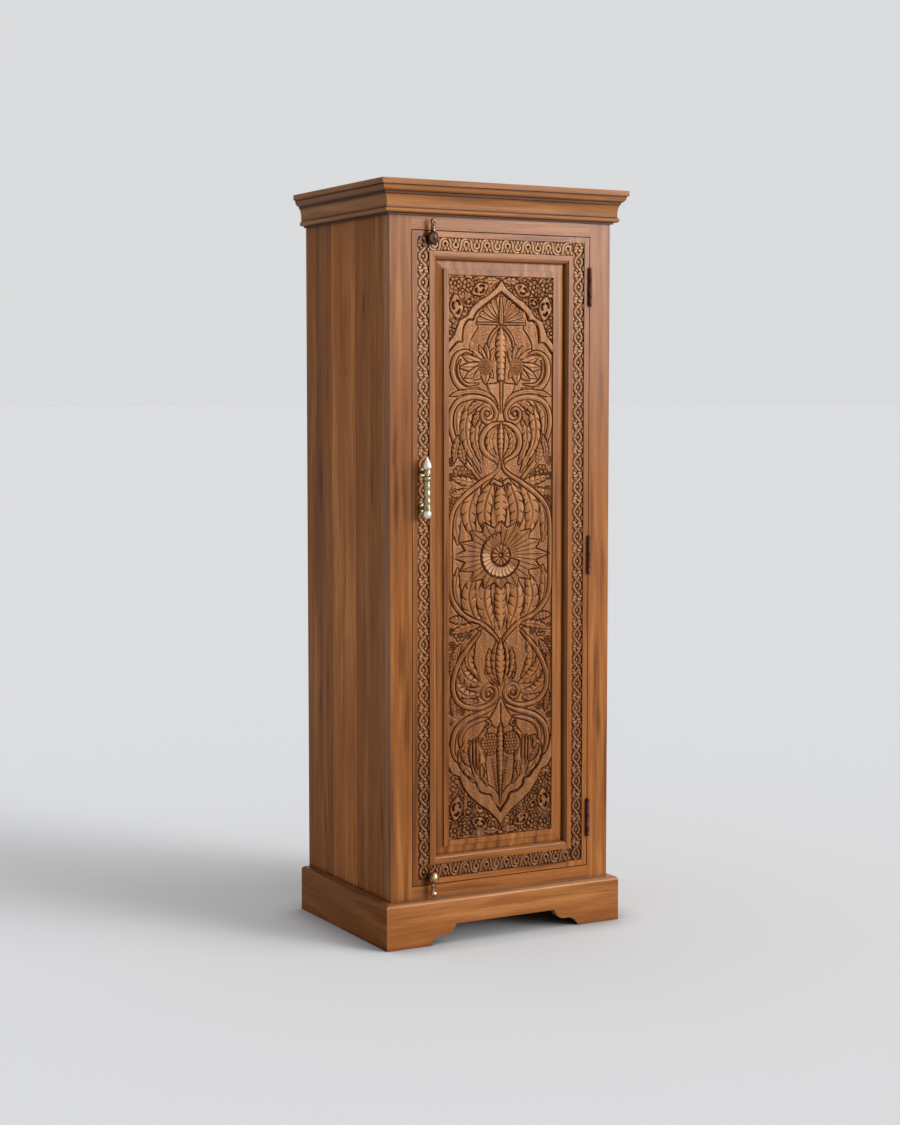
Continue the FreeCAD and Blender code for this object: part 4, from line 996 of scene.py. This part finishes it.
border = {
    "grid": 0.9,
    "ground": 0.2,
    "floor": 0.6,  # wood left behind the deepest cuts
    "top": 6.4,
    "roseGap": 0.8,
    "marks": {"rough": 0.2, "seed": 4, "patch": 12, "fill": (-2.0, 3.2)},
    "looks": {"tone": 1.1, "gloss": 0.8, "carved": True, "wearAndSheen": 0.8},
    "upright": {"repeats": 50, "pieces": 2, "strand": 9.6, "strandHalf": 3.7},
    "level": {"repeats": 14, "pieces": 1, "ring": 6.6, "ringHalf": 3.3},
}
uprightWood = woodMaterial("wood_border_upright", "z", 71, **border["looks"])
levelWood = woodMaterial("wood_border_level", "x", 72, **border["looks"])


# the length runs along v
def lacedSheet(halfWidth, halfLength):
    sheet = newSheet(halfWidth, halfLength, border["grid"], border["ground"])
    loops = border["upright"]["repeats"]
    pitch = 2 * halfLength / loops
    for k in range(loops + 1):
        cross = -halfLength + k * pitch
        for side in (1, -1):
            x = side * (halfWidth - 0.1)
            leaf(sheet, x, cross - 5.5, 90 + side * 16, 12, 3.6, 5.4, -side * 20, moat=1.0)
    along = np.linspace(-halfLength, halfLength, 12 * loops + 1)
    swing = border["upright"]["strand"] * np.sin(math.pi * (along + halfLength) / pitch)
    for side in (1, -1):
        lay(sheet, np.column_stack([side * swing, along]), border["upright"]["strandHalf"], 6.3, moat=1.4)
    for k in range(loops):
        middle = -halfLength + (k + 0.5) * pitch
        hand = 1 if k % 4 > 1 else -1
        if k % 2:
            for side in (1, -1):
                leaf(sheet, 0, middle, side * 90 - hand * 42, 13, 4.2, 6.2, -hand * 40, moat=0.9)
                leaf(sheet, side * 5.0, middle - side * hand * 2, 90 - side * 90 - hand * 30, 10.5, 4.0, 6.4,
                     moat=1.1)
        else:
            for ray in range(9):
                turn = 40 * ray + 17 * k
                ends = [around(0, middle, 7.4, turn), around(0, middle, 13.5, turn + 14.324)]
                groove(sheet, ends, 0.3, 3.2)
            dome(sheet, 0, middle, 4.0, 5.8, moat=1.6)
    return sheet


def scrollSheet(halfWidth, halfLength):
    sheet = newSheet(halfWidth, halfLength, border["grid"], border["ground"])
    waves = border["level"]["repeats"]
    pitch = 2 * halfLength / waves
    places = [(-halfLength + (k + 0.5) * pitch, -1 if k % 2 else 1) for k in range(waves)]
    for middle, side in places:
        for up in (1, -1):
            turn = 90 + side * 90 - side * up * 12
            leaf(sheet, -side * 4.0, middle + up * 9.0, turn, 11.5, 4.4, 5.8, moat=1.4)
            leaf(sheet, side * 14.0, middle + up * 4.0, up * 90 - side * up * 14, 8.5, 3.4, 5.6, moat=1.2)
        wave = [(-13.5, -0.62), (-6.0, -0.50), (6.0, -0.42), (12.5, -0.20), (13.0, 0.10)]
        lay(sheet, [(side * x, middle + share * pitch) for x, share in wave], [2.2, 3.6, 4.2, 3.4, 1.6], 6.4,
            "leaf", moat=1.8)
    for middle, side in places:
        ring(sheet, side * 1.0, middle, border["level"]["ring"], border["level"]["ringHalf"], 6.4, moat=1.0)
        leaf(sheet, -side * 5.0, middle, 90 + side * 90, 9.5, 4.4, 6.0, moat=1.2)
    return sheet


# the carving leaves room for the handle's posts and the latches' roses: x, z, radius
posts, postHalf = middleOf("handle_posts"), halfOf("handle_posts")
roses = [(posts.x, posts.z + end * (postHalf.z - postHalf.x), postHalf.x) for end in (-1, 1)]
for name in ("latch_rose_top", "latch_rose_bottom"):
    roses.append((middleOf(name).x, middleOf(name).z, halfOf(name).x))


def carveBorder(side, level):
    replaced = "border_carving_" + side
    middle, half = middleOf(replaced), halfOf(replaced)
    sheet = scrollSheet(half.z, half.x) if level else lacedSheet(half.x, half.z)
    handCut(sheet, **border["marks"])
    sheet["hollow"] = hollowOf(sheet)
    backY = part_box(replaced)[1].y
    rise = (2 * half.y - border["floor"]) / border["top"]

    def onDoor(x, v):
        across, along = (v, -x) if level else (x, v)
        return middle.x + across, middle.z + along

    def onBorder(x, v, height):
        across, along = onDoor(x.ravel(), v.ravel())
        out = border["floor"] + height.ravel() * rise
        return np.column_stack([across / perMetre, backY - out / perMetre, along / perMetre])

    def clear(x, v):
        across, along = onDoor(x, v)
        kept = np.ones(x.shape, bool)
        for roseX, roseZ, radius in roses:
            kept &= np.hypot(across - roseX, along - roseZ) > radius + border["roseGap"]
        return kept

    pieces = border["level" if level else "upright"]["pieces"]
    material = levelWood if level else uprightWood
    hangPieces("border_" + side, sheet, pieces, onBorder, replaced, material, clear)


for side in ("left", "right", "top", "bottom"):
    carveBorder(side, level=side in ("top", "bottom"))
print("border carved")

# Stage, light and camera; turns and rises of the light are in degrees, seen from the front

studio = {
    "paper": (0.704, 0.712, 0.724),
    "floor": (0.637, 0.645, 0.658),
    "floorReach": 800.0,
    "floorTurn": 0.3,
    # painted contact shadow: the floor darkens this close to the plinth
    "contact": 0.10,  # the floor darkens this close to the plinth
    "side": 43,
    "skyLeft": 0.08,
    "skyRight": 0.18,
    "skyTop": 0.95,
    "cards": [
        {"from": (37, 12), "inner": 6.0, "outer": 15.0, "strength": 19.0},
        {"from": (57, 11), "inner": 5.0, "outer": 13.0, "strength": 12.5},
        {"from": (35, 33), "inner": 9.0, "outer": 15.0, "strength": 6.0},
        {"from": (30, 64), "inner": 16.0, "outer": 26.0, "strength": 0.6},
    ],
}


def direction(turn, rise):
    turn, rise = math.radians(turn), math.radians(rise)
    return Vector((math.cos(rise) * math.sin(turn), -math.cos(rise) * math.cos(turn), math.sin(rise)))


# one big triangle, so that no edge runs under the cupboard
turns = [studio["floorTurn"] + 2 * math.pi * k / 3 for k in range(3)]
far = studio["floorReach"]
corners = [(far * math.sin(turn), -far * math.cos(turn), 0) for turn in turns]
floorMesh = bpy.data.meshes.new("floor")
floorMesh.from_pydata(corners, [], [(0, 1, 2)])
floor = addObject("floor", floorMesh)
floorMaterial, floorTree, floorShader = newMaterial("studio_floor")
# painted contact shadow: the floor's colour darkens near the cupboard and under it
openness = addNode(floorTree, "AmbientOcclusion", {"Distance": studio["contact"]}, samples=8).outputs["AO"]
floorStops = [(0.0, grey(0.03)), (0.5, tint(studio["floor"], 0.55)), (0.95, studio["floor"])]
floorColour = addRamp(floorTree, openness, floorStops, False)
floorTree.links.new(floorColour, floorShader.inputs["Base Color"])
floorShader.inputs["Roughness"].default_value = 0.9
floorShader.inputs["Specular IOR Level"].default_value = 0.0
floorMesh.materials.append(floorMaterial)

world = bpy.data.worlds.new("studio")
bpy.context.scene.world = world
world.use_nodes = True
sky = world.node_tree
sky.nodes.clear()
look = addNode(sky, "TexCoord").outputs["Generated"]


def towards(turn, rise):
    sockets = {0: look, 1: direction(turn, rise)}
    return addNode(sky, "VectorMath", sockets, operation="DOT_PRODUCT").outputs["Value"]


horizon = mapRange(sky, towards(studio["side"], 0), -1.0, 1.0, studio["skyLeft"], studio["skyRight"])
vault = mapRange(sky, heightOf(sky, look), 0.0, 1.0, horizon, studio["skyTop"])
rays = addNode(sky, "LightPath").outputs  # eye, polish and glass see the paper, the rest is lit by the vault
seen = compute(sky, "MAXIMUM", rays["Is Glossy Ray"], rays["Is Transmission Ray"])
shine = blend(sky, seen, vault, studio["paper"])
for card in studio["cards"]:
    outer, inner = (math.cos(math.radians(card[rim])) for rim in ("outer", "inner"))
    glow = mapRange(sky, towards(*card["from"]), outer, inner, 0.0, card["strength"])
    shine = blend(sky, 1.0, shine, glow, "ADD")
lamps = addNode(sky, "Background", {"Color": shine, "Strength": 1.0}).outputs[0]
paper = addNode(sky, "Background", {"Color": (*studio["paper"], 1), "Strength": 1.0}).outputs[0]
surface = addNode(sky, "MixShader", {0: rays["Is Camera Ray"], 1: lamps, 2: paper}).outputs[0]
addNode(sky, "OutputWorld", {"Surface": surface})

shot = {"place": (-2.4927, -4.4865, 1.2925), "yaw": -0.5025, "pitch": -0.0782, "lens": 66.17, "sensor": 36.0}
camera = bpy.data.cameras.new("camera")
camera.lens = shot["lens"]
camera.sensor_width = shot["sensor"]
camera.clip_end = 1000.0
eye = addObject("camera", camera)
eye.location = shot["place"]
eye.rotation_euler = (math.pi / 2 + shot["pitch"], 0, shot["yaw"])
bpy.context.scene.camera = eye
bpy.context.scene.view_settings.view_transform = "Standard"
print("stage, light and camera set")
